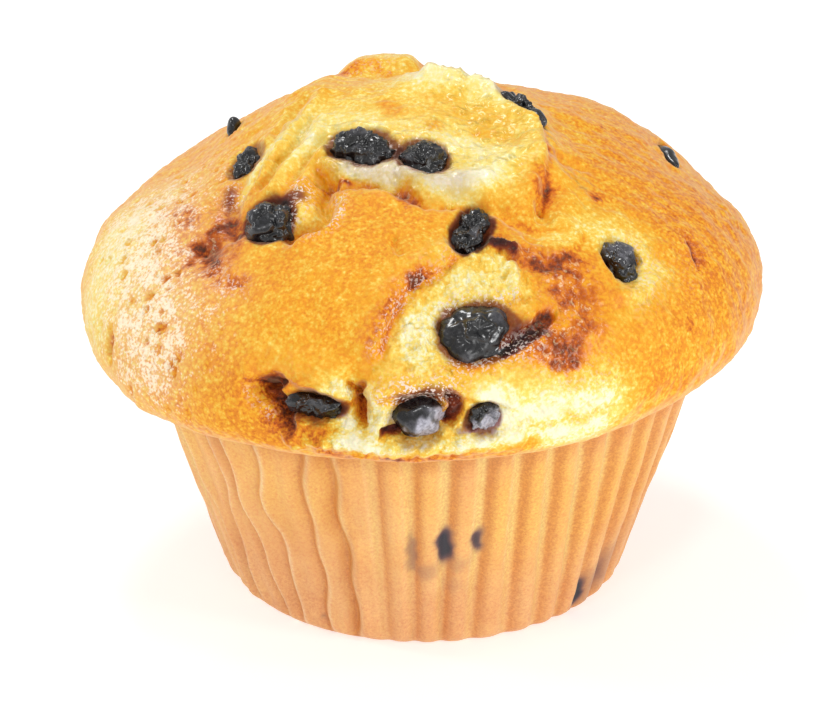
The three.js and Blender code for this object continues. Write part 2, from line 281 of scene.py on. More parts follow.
# Browning away from an even gold: reach, change (+ browner, - paler), route.
BROWNING = (
    (20.0, 0.10, [(-10, 60)]),
    (18.0, 0.08, [(60, 50)]),
    (16.0, 0.06, [(140, 60)]),
    (9.0, 0.01, [(-105, 50)]),
    (6.0, 0.06, [(-112, 30)]),
    (6.0, 0.06, [(-130, 92), (-122, 90)]),
    # Paler band at the left edge of the cap: painted rim light.
    (7.5, -0.34, [(-172, 64), (-165, 80)]),
    (8.0, -0.14, [(150, 10), (-170, 18)]),
    (7.0, -0.08, [(-90, 8)]),
    (3.6, -0.42, [(82, 7), (43, 10), (20, 13)]),
    (3.2, -0.16, [(0, 16), (-28, 22), (-46, 30)]),
    (3.0, -0.04, [(-170, 17)]),
    (3.0, -0.10, [(-35, 40)]),
    (4.0, -0.05, [(-58, 68)]),
    (2.4, -0.46, [(-124, 22), (-105, 21), (-84, 24), (-66, 24)]),
    (3.0, -0.22, [(-58, 12), (-50, 20)]),
    (2.2, -0.22, [(-128, 33), (-130, 38)]),
    (1.4, -0.30, [(-150, 38), (-158, 30), (-165, 25)]),
    (1.2, -0.20, [(-142, 32), (-147, 26), (-156, 20)]),
    (4.2, -0.36, [(-91, 65), (-90, 58), (-85, 50), (-80, 49)]),
    (0.8, 0.22, [(-84, 70), (-79, 70)]),
    (1.4, -0.14, [(-93, 58), (-93, 65)]),
    (5.0, -0.16, [(-158, 17), (-140, 12)]),
    (6.0, -0.14, [(-80, 12), (-60, 16)]),
    (2.0, -0.30, [(-70, 42), (-70, 50)]),
    (3.0, -0.28, [(-52, 40), (-44, 42), (-36, 48), (-37, 58), (-44, 61)]),
    (4.6, -0.60, [(-76, 90), (-68, 92), (-61, 97)]),
    (2.6, -0.39, [(-109, 104), (-103, 108), (-97, 112), (-90, 110), (-83, 106)]),
    (1.8, -0.40, [(-106, 77), (-99, 80), (-97, 86), (-102, 92)]),
    (1.6, -0.30, [(-80, 79), (-78, 82)]),
    (1.6, 0.34, [(-107, 121), (-98, 130), (-90, 133), (-82, 130), (-72, 124)]),
    (0.6, 0.40, [(-97, 129), (-92, 131)]),
    (0.5, 0.40, [(-104, 136)]),
    (1.0, 0.16, [(-118, 90), (-116, 96)]),
    (2.4, 0.15, [(-148, 42), (-147, 48), (-140, 48)]),
    (1.5, 0.20, [(-147, 49), (-139, 52.5), (-131, 54)]),
    (1.3, 0.15, [(-157, 46), (-165, 48)]),
    (1.1, 0.15, [(-168, 51), (180, 54)]),
    (1.8, 0.22, [(-157, 36.5), (-149, 39), (-145, 43)]),
    (4.0, 0.10, [(-165, 49), (-152, 49), (-140, 48)]),
    (0.5, 0.50, [(-135, 24.5), (-122, 25.3), (-109, 23.3)]),
    (0.9, 0.48, [(-101, 25), (-95, 27.5)]),
    (0.8, 0.36, [(-127, 40), (-124, 38.5)]),
    (4.0, 0.15, [(-61, 49), (-57, 52), (-57, 60), (-61, 68)]),
    (1.3, 0.36, [(-71, 40), (-67.5, 43)]),
    (1.5, 0.16, [(-63, 45), (-56, 46), (-51, 49)]),
    (1.0, 0.20, [(-67, 73.5), (-62, 75)]),
    (2.6, -0.08, [(-53, 66)]),
    (1.4, 0.09, [(-61, 48), (-57, 51), (-60, 55)]),
    (3.6, 0.04, [(-58, 54), (-56, 63)]),
    (4.0, 0.04, [(-54, 92), (-46, 88)]),
    (3.4, 0.05, [(-45, 66), (-38, 64)]),
    (1.4, 0.09, [(-56, 58), (-60, 63), (-57, 66)]),
    (2.4, 0.13, [(-66, 67), (-63, 71)]),
    (1.8, 0.17, [(-72, 68.5), (-68, 68.5), (-63.5, 71.5)]),
    (0.9, 0.22, [(-82, 43), (-88, 45), (-93, 48)]),
    (1.7, 0.24, [(-91, 46.5), (-96.5, 55), (-99, 65)]),
    (1.5, 0.50, [(-44, 29.5), (-47, 31)]),
    (1.6, 0.25, [(-25, 24), (-28, 26)]),
    (2.2, 0.34, [(-113, 97), (-108, 101)]),
    (1.0, 0.10, [(-22, 58), (-25, 64)]),
    (0.6, 0.30, [(-29, 68)]),
    (0.6, 0.30, [(-36, 77)]),
    (3.4, -0.22, [(116, 22), (104, 20)]),
    (0.9, 0.26, [(138, 21), (126, 19), (118, 17)]),
    (0.8, 0.2, [(100, 26), (88, 18)]),
    (1.3, 0.26, [(-142, 6.5), (-160, 6)]),
    (1.0, 0.30, [(-82, 8)]),
    (0.9, 0.24, [(-58, 10), (-40, 12.5)]),
    (1.1, 0.24, [(-29, 36)]),
    (0.5, 0.45, [(130, 16)]),
    (0.5, 0.45, [(113, 15)]),
    (0.5, 0.50, [(-50, 62)]),
    (0.5, 0.45, [(14, 31.6)]),
    (0.7, 0.35, [(-72, 94), (-64, 96), (-58, 99)]),
)

# Berry juice baked into the crumb: reach, strength, route.
JUICE = (
    (0.7, 0.55, [(-73, 39), (-70, 40)]),
    (0.6, 0.35, [(-69, 41), (-67.5, 43)]),
    (0.8, 0.30, [(-158, 36.5), (-154, 38)]),
    (1.1, 0.45, [(-134, 31), (-136, 35)]),
    # This row greys the roll under the first two berries: partly juice stain, partly painted shade beneath
    # them.
    (2.6, 0.13, [(-128, 21), (-114, 21.5), (-97, 22.5), (-76, 24.5)]),
    (0.9, 0.40, [(-94, 80), (-91, 78), (-87.5, 78)]),
    (0.8, 0.30, [(-105.5, 83), (-104, 86)]),
    (0.6, 0.30, [(-84, 91), (-82, 90)]),
    (0.9, 0.30, [(-70, 62), (-75, 67)]),
    (1.0, 0.25, [(31, 15), (18, 16)]),
)

# Painted highlights: fine bright specks that stand for glints on the glossy skin: reach, strength, route.
GLINT_SPECKS = (
    (1.3, 1.0, [(-136, 28), (-132, 31), (-130, 35)]),
    (1.2, 0.9, [(-159, 36), (-154, 36)]),
    (0.9, 0.9, [(-120, 30), (-118, 36), (-124, 41)]),
    (0.8, 0.7, [(-83, 43), (-92, 48), (-97, 58), (-98, 66)]),
    (0.9, 0.9, [(-72, 53), (-78, 52), (-86, 54)]),
    (1.5, 0.7, [(-70, 67), (-76, 69), (-84, 70)]),
    (3.0, 0.08, [(-58, 54), (-62, 66)]),
    (1.3, 0.7, [(-140, 52), (-131, 55)]),
    (1.5, 1.0, [(-97, 80), (-92, 77), (-86, 77)]),
    (0.5, 0.6, [(-121, 79), (-120.5, 84), (-117, 90)]),
    (1.6, 0.25, [(130, 18), (113, 17)]),
    (2.0, 0.4, [(-128, 20), (-105, 20), (-80, 22)]),
    (2.0, 0.45, [(-37, 50), (-37, 57), (-43, 62)]),
    (2.5, 0.25, [(-60, 14), (-75, 12), (-100, 10)]),
    (3.5, 0.07, [(-30, 66), (-20, 56), (-18, 46)]),
    (3.0, 0.3, [(-66, 92), (-60, 84), (-66, 78)]),
)

# Pale, floury skin, its pale specks partly painted glints: reach, strength, route.
FLOUR = (
    (9.0, 1.05, [(-174, 54), (-160, 59), (-149, 67)]),
    (5.0, 0.3, [(-146, 92), (-138, 86)]),
    (6.0, 0.18, [(-138, 78), (-134, 62)]),
)

# Glossy skin, thin and wrinkled over the wet batter: reach, strength, route.
WET = (
    (6.0, 0.8, [(-150, 16), (-95, 12), (-60, 14), (0, 8)]),
    (4.0, 0.6, [(90, 10), (80, 8), (40, 10), (0, 15), (-30, 24)]),
    (3.5, 0.9, [(-128, 22), (-84, 25), (-55, 22)]),
    (2.6, 0.8, [(-150, 34), (-158, 27), (-170, 22)]),
    (3.0, 0.5, [(-132, 31), (-126, 30), (-120, 33)]),
    (2.6, 0.8, [(-156, 38), (-146, 46), (-134, 53)]),
    (5.0, 1.0, [(-63, 49), (-58, 54), (-60, 62), (-66, 68)]),
    (2.2, 0.9, [(-86, 43), (-93, 48), (-98, 58), (-98, 66)]),
    (3.0, 0.9, [(-70, 68), (-78, 72), (-88, 76), (-96, 74)]),
    (2.4, 0.8, [(-80, 52), (-74, 52), (-70, 57)]),
    (3.0, 0.7, [(-36, 54), (-38, 62), (-46, 66)]),
    (2.0, 0.7, [(-30, 33), (-34, 36)]),
    (2.6, 0.6, [(-120, 72), (-108, 73)]),
)

# Crushed pleats at the left of the paper case: height of the crest, depth of the groove on its left,
# which also sets the painted shade in it, how bright the painted highlight along the crease is, route of
# (azimuth, height above the table in mm).
PLEATS = (
    (0.5, 0.4, 0.5, [(-149.6, 2.4), (-149.2, 7.6), (-151.4, 14.0), (-153.7, 18.2), (-153.9, 23.8)]),
    (0.5, 0.5, 0.6, [(-143.2, 2.6), (-142.9, 9.7), (-142.6, 15.2), (-141.4, 18.7), (-142.0, 25.7)]),
    (0.6, 0.6, 0.9, [(-131.6, 2.1), (-132.5, 6.0), (-133.9, 12.6), (-136.1, 19.2), (-136.1, 26.1)]),
    (
        0.5,
        0.3,
        0.8,
        [(-126.0, 4.7), (-125.4, 9.4), (-125.8, 15.6), (-128.1, 18.5), (-128.4, 21.1), (-126.0, 27.5)],
    ),
    (0.4, 0.6, 0.5, [(-116.5, 5.3), (-115.5, 10.4), (-115.7, 15.3), (-116.5, 20.5), (-114.9, 29.5)]),
    (0.5, 0.9, 0.3, [(-108.0, 1.7), (-107.8, 5.8), (-107.5, 12.7), (-108.5, 18.3), (-108.3, 30.3)]),
)

# Berries that show dark through the paper: azimuth, height, half width and half height in mm, strength.
STAINS = (
    (-85.2, 16.6, 1.1, 2.7, 1.0),
    (-77.6, 17.0, 0.9, 2.0, 0.85),
    (-93.2, 15.6, 0.8, 3.2, 0.45),
    (-89.5, 12.6, 1.9, 1.5, 0.32),
    (-81.6, 13.6, 1.8, 1.6, 0.26),
    (-82.5, 10.2, 1.6, 1.4, 0.2),
    (-41.5, 2.8, 1.0, 2.6, 0.8),
    (-37.5, 4.0, 3.0, 3.4, 0.36),
    (-30.5, 6.2, 3.2, 4.4, 0.34),
    (-120.5, 2.2, 1.2, 0.3, 0.4),
)


def linear(code):
    """Linear red, green and blue of an sRGB hex colour: (c / 12.92) below 0.04045, a power of 2.4 above."""
    parts = [int(code[i : i + 2], 16) / 255 for i in (1, 3, 5)]
    return tuple(c / 12.92 if c <= 0.04045 else ((c + 0.055) / 1.055) ** 2.4 for c in parts)


# ---- settings ----


class MuffinCrust(bpy.types.PropertyGroup):
    """Fineness, relief and colours of the crust"""

    columns: bpy.props.IntProperty(
        name="Columns", description="Mesh columns round the cap", default=600, min=64
    )
    rows: bpy.props.IntProperty(
        name="Rows", description="Mesh rows from the crown to the widest line", default=126, min=24
    )
    lumps: bpy.props.FloatProperty(
        name="Lumps", description="Height of the soft lumps of the crust", default=0.45 * MM, unit="LENGTH"
    )
    grain: bpy.props.FloatProperty(
        name="Grain", description="Height of the crumb's grain", default=0.16 * MM, unit="LENGTH"
    )
    pale: bpy.props.FloatVectorProperty(
        name="Pale crumb", description="Unbrowned crumb", subtype="COLOR", default=linear("#F1E7B0")
    )
    gold: bpy.props.FloatVectorProperty(
        name="Golden crust", description="Evenly baked crust", subtype="COLOR", default=linear("#E8A01C")
    )
    burnt: bpy.props.FloatVectorProperty(
        name="Burnt crust", description="Darkest caramel", subtype="COLOR", default=linear("#50240C")
    )


class MuffinBerries(bpy.types.PropertyGroup):
    """Fineness, folds and colour of the dried berries"""

    rows: bpy.props.IntProperty(
        name="Rows", description="Mesh rows from pole to pole of a berry", default=84, min=16
    )
    wrinkle: bpy.props.FloatProperty(
        name="Wrinkles", description="Depth of the folds in the skin", default=0.55 * MM, unit="LENGTH"
    )
    skin: bpy.props.FloatVectorProperty(
        name="Skin", description="Dried berry skin", subtype="COLOR", default=linear("#131316")
    )


class MuffinCase(bpy.types.PropertyGroup):
    """Fineness, thickness and colour of the paper case"""

    columns: bpy.props.IntProperty(
        name="Columns", description="Mesh columns for each flute", default=14, min=6
    )
    thickness: bpy.props.FloatProperty(
        name="Thickness", description="Thickness of the paper", default=0.3 * MM, unit="LENGTH"
    )
    paper: bpy.props.FloatVectorProperty(
        name="Paper", description="Greaseproof paper over crumb", subtype="COLOR", default=linear("#E3A768")
    )


class MuffinStudio(bpy.types.PropertyGroup):
    """Camera and lights"""

    distance: bpy.props.FloatProperty(
        name="Distance", description="Camera to the middle of the muffin", default=600 * MM, unit="LENGTH"
    )
    elevation: bpy.props.FloatProperty(
        name="Elevation",
        description="Camera above the horizon",
        default=math.radians(25.05),
        unit="ROTATION",
    )
    lens: bpy.props.FloatProperty(
        name="Lens", description="Focal length", default=209.1, unit="CAMERA"
    )
    key: bpy.props.FloatProperty(
        name="Key light", description="Power of the front softbox", default=0.6, unit="POWER"
    )
    top: bpy.props.FloatProperty(
        name="Top light", description="Power of the overhead softbox", default=1.25, unit="POWER"
    )
    glint: bpy.props.FloatProperty(
        name="Glint light", description="Power of the small high softbox", default=0.3, unit="POWER"
    )
    fill: bpy.props.FloatProperty(
        name="Fill light", description="Power of the side softboxes", default=1.0, unit="POWER"
    )
    sky: bpy.props.FloatProperty(
        name="Sky", description="Strength of the white surround", default=0.53
    )


# ---- numbers and noise ----


def smoothstep(x, low, high):
    """0 below low, 1 above high, and 3t2 - 2t3 between, where t is how far x is from low to high."""
    t = np.clip((x - low) / (high - low), 0.0, 1.0)
    return t * t * (3.0 - 2.0 * t)


def bell(distance, reach):
    """exp(-(d / reach)^2): rounded top, soft foot."""
    return np.exp(-((distance / reach) ** 2))


def slab(distance, reach):
    """exp(-(d / reach)^4): flat top, steep sides."""
    return np.exp(-((distance / reach) ** 4))


def plug(distance, reach):
    """exp(-(d / reach)^8): flat top, almost sheer sides."""
    return np.exp(-((distance / reach) ** 8))


FORMS = {"bell": bell, "slab": slab}


def hashed(cells, seed):
    """A repeatable random number 0 to 1 for each lattice cell: whole coordinates times large odd
    numbers are summed, then mixed twice by shift and multiply."""
    primes = np.array([73856093, 19349663, 83492791], np.uint64)
    key = (cells.astype(np.int64).astype(np.uint64) * primes).sum(-1) + np.uint64(seed * 2654435761 % 2**32)
    for _ in range(2):
        key = (key ^ (key >> np.uint64(15))) * np.uint64(2246822519)
        key = key & np.uint64(0xFFFFFFFF)
    key = key ^ (key >> np.uint64(13))
    return (key & np.uint64(0xFFFFFF)).astype(float) / 0xFFFFFF


def noise(points, size, seed=0):
    """Gradient noise, about -1 to 1: each corner of a lattice of the given size in mm has a random
    direction, and the corner's slope times the offset is blended over the cell by 6t5 - 15t4 + 10t3."""
    p = points / size + 37.7
    cell = np.floor(p)
    t = p - cell
    w = t * t * t * (t * (6.0 * t - 15.0) + 10.0)
    total = np.zeros(p.shape[:-1])
    for corner in np.ndindex(2, 2, 2):
        step = np.array(corner, float)
        at = cell + step
        turn = 2.0 * math.pi * hashed(at, seed)
        rise = 2.0 * hashed(at, seed + 101) - 1.0
        flat = np.sqrt(1.0 - rise * rise)
        slope = np.stack([flat * np.cos(turn), flat * np.sin(turn), rise], -1)
        share = np.prod(np.where(step > 0.5, w, 1.0 - w), -1)
        total += share * np.sum(slope * (t - step), -1)
    return 1.6 * total


def layered(points, size, seed=0, octaves=3):
    """Sum of noise at size, size / 2, size / 4 ..., each half as strong as the one before."""
    return sum(noise(points, size / 2**i, seed + 7 * i) / 2**i for i in range(octaves))


def cells(points, size, seed=0):
    """Distance to the nearest of the random points, one in each lattice cell, in cell sizes."""
    p = points / size + 11.3
    base = np.floor(p)
    best = np.full(p.shape[:-1], 9.0)
    for corner in np.ndindex(3, 3, 3):
        at = base + np.array(corner, float) - 1.0
        spot = at + np.stack([hashed(at, seed + k) for k in range(3)], -1)
        best = np.minimum(best, np.linalg.norm(spot - p, axis=-1))
    return best


def warped(points, size, amount, seed):
    """Points moved by three independent noises, so that what is measured from them has a wandering edge."""
    return points + amount * np.stack([noise(points, size, seed + 31 * k) for k in range(3)], -1)


def route_distance(points, route):
    """Distance from each point to the nearest place on a chain of straight legs."""
    route = [np.asarray(place, float) for place in route]
    if len(route) == 1:
        return np.linalg.norm(points - route[0], axis=-1)
    best = np.full(points.shape[:-1], np.inf)
    for start, end in zip(route[:-1], route[1:]):
        leg = end - start
        along = np.clip((points - start) @ leg / (leg @ leg), 0.0, 1.0)
        best = np.minimum(best, np.linalg.norm(points - start - along[..., None] * leg, axis=-1))
    return best


# ---- the cap's main form ----


def main_form(azimuth, tilt):
    """Point on the plain cap: down to 90 degrees of tilt an ellipse, r = R sin t, z = Z + H cos t; from
    there a curl under the edge, r = R - c (1 - cos b), z = Z - (Z - Zu) sin b, with b = tilt - 90."""
    azimuth, tilt = np.broadcast_arrays(np.asarray(azimuth, float), np.asarray(tilt, float))
    radius = np.full(azimuth.shape, CAP_RADIUS)
    droop = np.zeros(azimuth.shape)
    for centre, spread, swell, sag in CAP_WAVES:
        share = bell((azimuth - centre + 180.0) % 360.0 - 180.0, spread)
        radius = radius + swell * share
        droop = droop + sag * share
    turn = np.radians(azimuth)
    lean = CAP_LEAN * np.cos(turn)
    widest = CAP_WIDEST_Z + lean - WIDEST_SAG * droop
    dome = CAP_DOME_HEIGHT - lean + WIDEST_SAG * droop
    up = np.radians(np.minimum(tilt, 90.0))
    curl = np.radians(np.clip(tilt - 90.0, 0.0, 90.0))
    r = radius * np.sin(up) - CAP_CURL_RADIUS * (1.0 - np.cos(curl))
    z = widest + dome * np.cos(up) - (widest - CAP_UNDERSIDE_Z + droop) * np.sin(curl)
    return np.stack([r * np.cos(turn), r * np.sin(turn), z], -1)


def main_normal(azimuth, tilt):
    """Outward normal of the plain cap, from the cross product of small steps down and round it."""
    step = 0.5
    tilt = np.clip(tilt, 1.0, 178.0)
    east = main_form(azimuth + step, tilt) - main_form(azimuth - step, tilt)
    down = main_form(azimuth, tilt + step) - main_form(azimuth, tilt - step)
    out = np.cross(down, east)
    return out / np.linalg.norm(out, axis=-1, keepdims=True)


def on_cap(route):
    """Places on the plain cap for a route of (azimuth, tilt)."""
    return [main_form(azimuth, tilt) for azimuth, tilt in route]


def relief(points, features):
    """Sum of height times fade(distance to the route / reach) over the features."""
    height = np.zeros(points.shape[:-1])
    for form, reach, rise, route in features:
        height += rise * FORMS[form](route_distance(points, on_cap(route)), reach)
    return height


def ledges(points, normals):
    """Height and painted shade of the ledges. The height is the sum of rise x smoothstep(side) x bell(side
    beyond the edge / reach) x bell(distance past the ends), where side is measured square to the nearest
    leg, positive on its left. The shade is a line of width soft along the foot, which the crust paints
    into its browning as shade under the ledge."""
    height = np.zeros(points.shape[:-1])
    ledge_foot_shade = np.zeros(points.shape[:-1])
    for rise, soft, reach, route in LEDGES:
        places = on_cap(route)
        nearest = np.full(height.shape, np.inf)
        step = np.zeros(height.shape)
        foot = np.zeros(height.shape)
        last = len(places) - 2
        for i, (start, end) in enumerate(zip(places[:-1], places[1:])):
            length = np.linalg.norm(end - start)
            leg = (end - start) / length
            offset = points - start
            along = offset @ leg
            left = np.cross(normals, leg)
            left /= np.linalg.norm(left, axis=-1, keepdims=True)
            side = np.sum(offset * left, -1)
            held = np.clip(along, 0.0, length)
            away = np.linalg.norm(offset - held[..., None] * leg, axis=-1)
            past = np.maximum(-along, 0.0) * (i == 0) + np.maximum(along - length, 0.0) * (i == last)
            ends = bell(past, 3.0 * soft)
            closer = away < nearest
            nearest = np.where(closer, away, nearest)
            rising = smoothstep(side, -soft, soft) * bell(np.maximum(side, 0.0), reach) * ends
            step = np.where(closer, rising, step)
            foot = np.where(closer, bell(side + soft, 1.2 * soft) * ends, foot)
        near = bell(np.maximum(nearest - 2.0 * reach, 0.0), 0.5)
        height += rise * step * near
        ledge_foot_shade += foot * near * (nearest < 3.0)
    return height, np.clip(ledge_foot_shade, 0.0, 1.0)


def painted(points, spots):
    """Sum of strength times exp(-(distance / reach)^2) over the spots."""
    total = np.zeros(points.shape[:-1])
    for reach, strength, route in spots:
        total += strength * bell(route_distance(points, on_cap(route)), reach)
    return total


def berry_axes(place, heading):
    """Unit vectors along, across and out of a berry that lies on the cap, its length on a heading."""
    out = main_normal(*place)
    turn = math.radians(heading)
    along = np.array([math.cos(turn), math.sin(turn), 0.0])
    along = along - out * (along @ out)
    along /= np.linalg.norm(along)
    return along, np.cross(out, along), out


def berry_middle(number):
    """Middle of a berry's solid in the frame, mm."""
    low, high = (np.array(corner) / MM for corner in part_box(f"berry_{number:02d}"))
    return (low + high) / 2


def berry_reach(points, number):
    """Elliptical distance from a berry's axis, measured along the crust: 1 at the berry's outline."""
    berry = BERRIES[number - 1]
    along, across, out = berry_axes(berry.place, berry.heading)
    offset = points - berry_middle(number)
    flat = np.hypot(offset @ along / (berry.size[0] / 2), offset @ across / (berry.size[1] / 2))
    above = np.abs(offset @ out) / BERRY_BAND
    return np.hypot(flat, np.maximum(above - 1.0, 0.0))


def berry_marks(points):
    """Socket, raised rim and juice halo round the berries, summed: slab(d / 1.02), bell((d - 1.3) / 0.35) and
    halo x bell(how far d is past 1, / 0.16), where d is the elliptical distance."""
    sockets, rims, halo = (np.zeros(points.shape[:-1]) for _ in range(3))
    for number, berry in enumerate(BERRIES, 1):
        reach = berry_reach(points, number)
        sockets += slab(reach, 1.02)
        rims += bell(reach - 1.3, 0.35)
        halo += berry.halo * bell(np.maximum(reach - 1.0, 0.0), 0.16)
    return np.minimum(sockets, 1.0), rims, halo


def cavity_marks(points):
    """Drop, share opened, browning and juice of the cavities, each times plug(distance to the route / reach).
    The browning is partly caramel and partly painted shade of the recess.
    The drops add up, and of the others the largest counts."""
    drop, opened, hollow, soaked = (np.zeros(points.shape[:-1]) for _ in range(4))
    for reach, depth, brown, juicy, route in CAVITIES:
        inside = plug(route_distance(points, on_cap(route)), reach)
        drop += depth * inside
        opened = np.maximum(opened, inside)
        hollow = np.maximum(hollow, brown * inside)
        soaked = np.maximum(soaked, juicy * inside)
    return drop, opened, hollow, soaked


# ---- meshes ----


def mesh_object(name, points, faces, fields=None, smooth=True):
    """A mesh object from points in mm, a list of arrays of faces, and named values for its points."""
    mesh = bpy.data.meshes.new(name)
    mesh.vertices.add(len(points))
    mesh.vertices.foreach_set("co", (points * MM).astype(np.float32).ravel())
    corners = np.concatenate([f.ravel() for f in faces]).astype(np.int32)
    sizes = np.concatenate([np.full(len(f), f.shape[1]) for f in faces])
    mesh.loops.add(len(corners))
    mesh.loops.foreach_set("vertex_index", corners)
    mesh.polygons.add(len(sizes))
    mesh.polygons.foreach_set("loop_start", (np.cumsum(sizes) - sizes).astype(np.int32))
    mesh.update(calc_edges=True)
    for field, values in (fields or {}).items():
        layer = mesh.attributes.new(field, "FLOAT", "POINT")
        layer.data.foreach_set("value", np.asarray(values, np.float32).ravel())
    mesh.validate()
    mesh.polygons.foreach_set("use_smooth", np.full(len(mesh.polygons), smooth))
    made = bpy.data.objects.new(name, mesh)
    bpy.context.scene.collection.objects.link(made)
    return made


def closed_rings(rows, columns):
    """Faces of rings stacked from bottom to top and closed by a point at each end. The points are
    the bottom point, then the rings row by row, then the top point."""
    ring = np.arange(columns)
    following = (ring + 1) % columns
    base = 1 + np.arange(rows - 1)[:, None] * columns
    quads = np.stack(
        [base + ring, base + following, base + columns + following, base + columns + ring], -1
    ).reshape(-1, 4)
    top = 1 + rows * columns
    last = 1 + (rows - 1) * columns
    low_fan = np.stack([np.zeros(columns, int), 1 + following, 1 + ring], -1)
    high_fan = np.stack([np.full(columns, top), last + ring, last + following], -1)
    return [quads, low_fan, high_fan]


# ---- nodes ----

# Blender's names for the kinds of node that the materials use.
PLACE = "ShaderNodeTexCoord"
FIELD = "ShaderNodeAttribute"
NOISE = "ShaderNodeTexNoise"
CELLS = "ShaderNodeTexVoronoi"
MATHS = "ShaderNodeMath"
RANGE = "ShaderNodeMapRange"
RAMP = "ShaderNodeValToRGB"
MIX = "ShaderNodeMix"
ANGLE = "ShaderNodeLayerWeight"
BUMP = "ShaderNodeBump"
SURFACE = "ShaderNodeBsdfPrincipled"
OUTPUT = "ShaderNodeOutputMaterial"

# Sockets of a mix of two colours, several of which share a name.
SHARE, UNDER, OVER = 0, 6, 7
MIXED = 2


def add(tree, kind, inputs=(), stops=(), out=0, **settings):
    """Add one node and give back one of its outputs. Settings go on the node, stops on its colour ramp
    and inputs on its sockets, in order or by name. An input that is another node's output is linked,
    and a colour of three parts gets its alpha."""
    made = tree.nodes.new(kind)
    for name, value in settings.items():
        setattr(made, name, value)
    if stops:
        elements = made.color_ramp.elements
        while len(elements) < len(stops):
            elements.new(1.0)
        for element, (place, colour) in zip(elements, stops):
            element.position = place
            element.color = (*colour, 1.0)
    named = inputs if isinstance(inputs, dict) else dict(enumerate(inputs))
    for name, value in named.items():
        socket = made.inputs[name]
        if isinstance(value, bpy.types.NodeSocket):
            tree.links.new(value, socket)
        elif socket.type == "RGBA":
            socket.default_value = (*value, 1.0)
        else:
            socket.default_value = value
    return made.outputs[out] if made.outputs else None


def new_material(name):
    """An empty node material, and add() bound to its node tree."""
    material = bpy.data.materials.new(name)
    material.use_nodes = True
    material.node_tree.nodes.clear()
    return material, functools.partial(add, material.node_tree)


def per(size_mm):
    """Scale of a noise texture on Object coordinates whose features are this many mm apart."""
    return 1.0 / (size_mm * MM)


# ---- baked crumb ----

# Grains of the crust: name, mm from one to the next, layers of finer detail. Flour grains are about
# 0.1 mm and would be lost at the size of the render, so they are drawn three to four times coarser, as
# are the specks of painted glint. Freckles are single crumbs that browned more, or less, than those beside
# them.
CRUST_GRAINS = (
    ("flour", 0.32, 2.0),
    ("glint_specks", 0.4, 1.0),
    ("freckles", 0.46, 1.0),
    ("fine", 0.55, 3.0),
    ("pits", 0.7, 0.0),
    ("lumps", 1.5, 1.0),
    ("middle", 1.7, 3.0),
    ("creases", 1.9, 1.0),
    ("curls", 2.2, 2.0),
    ("wide", 6.0, 3.0),
)
CRUMB_CELL = 0.5


def browned(node, settings, fields, grain, dark, dry):
    """Colour of the bake: browning + mottle x calm + 0.2 (wide - 0.5) + freckles, read from a ramp of cream,
    gold, orange and brown. The mottle adds up the fine and middle grain and, on dry skin, the crumb's
    cells, up to 0.09. Calm weakens it on dark and on wet skin. Where the grain of the freckles is high
    dry skin is 0.06 browner, and where it is low 0.08 paler."""
    mottle = node(MATHS, (grain["cell"], 0.3, -0.13), operation="MULTIPLY_ADD")
    mottle = node(MATHS, (mottle, dry), operation="MULTIPLY")
    mottle = node(MATHS, (grain["fine"], 0.75, mottle), operation="MULTIPLY_ADD")
    mottle = node(MATHS, (grain["middle"], 0.5, mottle), operation="MULTIPLY_ADD")
    mottle = node(MATHS, (mottle, 0.625), operation="SUBTRACT")
    mottle = node(MATHS, (mottle, 0.09), operation="MINIMUM")
    for field, change in ((dark, -0.6), (fields["wet"], -0.4)):
        calm = node(MATHS, (field, change, 1.0), operation="MULTIPLY_ADD")
        mottle = node(MATHS, (mottle, calm), operation="MULTIPLY")
    tone = node(MATHS, (grain["wide"], 0.2, -0.1), operation="MULTIPLY_ADD")
    for part in (mottle, fields["browning"]):
        tone = node(MATHS, (tone, part), operation="ADD")
    for none, full, change in ((0.56, 0.66, 0.06), (0.43, 0.35, -0.08)):
        freckles = node(RANGE, (grain["freckles"], none, full, 0.0, change), interpolation_type="SMOOTHSTEP")
        freckles = node(MATHS, (freckles, dry), operation="MULTIPLY")
        tone = node(MATHS, (tone, freckles), operation="ADD")
    stops = [
        (0.0, linear("#F3EDCB")),
        (0.1, tuple(settings.pale)),
        (0.2, linear("#F0DD88")),
        (0.3, linear("#F0CF5E")),
        (0.4, linear("#EBBC44")),
        (0.49, linear("#E8AC2C")),
        (0.57, tuple(settings.gold)),
        (0.67, linear("#E08A17")),
        (0.78, linear("#CB6A0C")),
        (0.87, linear("#A84A08")),
        (0.95, linear("#74300A")),
        (1.0, tuple(settings.burnt)),
    ]
    return node(RAMP, (tone,), stops)


def flour_and_painted_glints(node, colour, fields, grain, dark):
    """Loose flour and painted glints: pale specks where 0.9 (middle + flour grain) - 0.3 cell + 0.3 wide +
    0.36 flour field passes a limit, over a thin haze, and none of it on dark crust. The specks are partly
    flour and partly painted highlights."""
    clumps = node(MATHS, (grain["middle"], 0.9, -0.15), operation="MULTIPLY_ADD")
    for part, share in (
        (grain["flour"], 0.9),
        (grain["cell"], -0.3),
        (grain["wide"], 0.3),
        (fields["flour"], 0.36),
    ):
        clumps = node(MATHS, (part, share, clumps), operation="MULTIPLY_ADD")
    specks = node(RANGE, (clumps, 0.92, 1.22), interpolation_type="SMOOTHSTEP")
    dusted = node(RANGE, (fields["flour"], 0.02, 0.3), interpolation_type="SMOOTHSTEP")
    specks = node(MATHS, (specks, dusted), operation="MULTIPLY")
    haze = node(MATHS, (fields["flour"], 0.22), operation="MULTIPLY")
    floury = node(MATHS, (specks, 0.68, haze), operation="MULTIPLY_ADD")
    light = node(MATHS, (1.0, dark), operation="SUBTRACT")
    floury = node(MATHS, (floury, light), operation="MULTIPLY")
    return node(MIX, {SHARE: floury, UNDER: colour, OVER: linear("#FFF3D8")}, out=MIXED, data_type="RGBA")


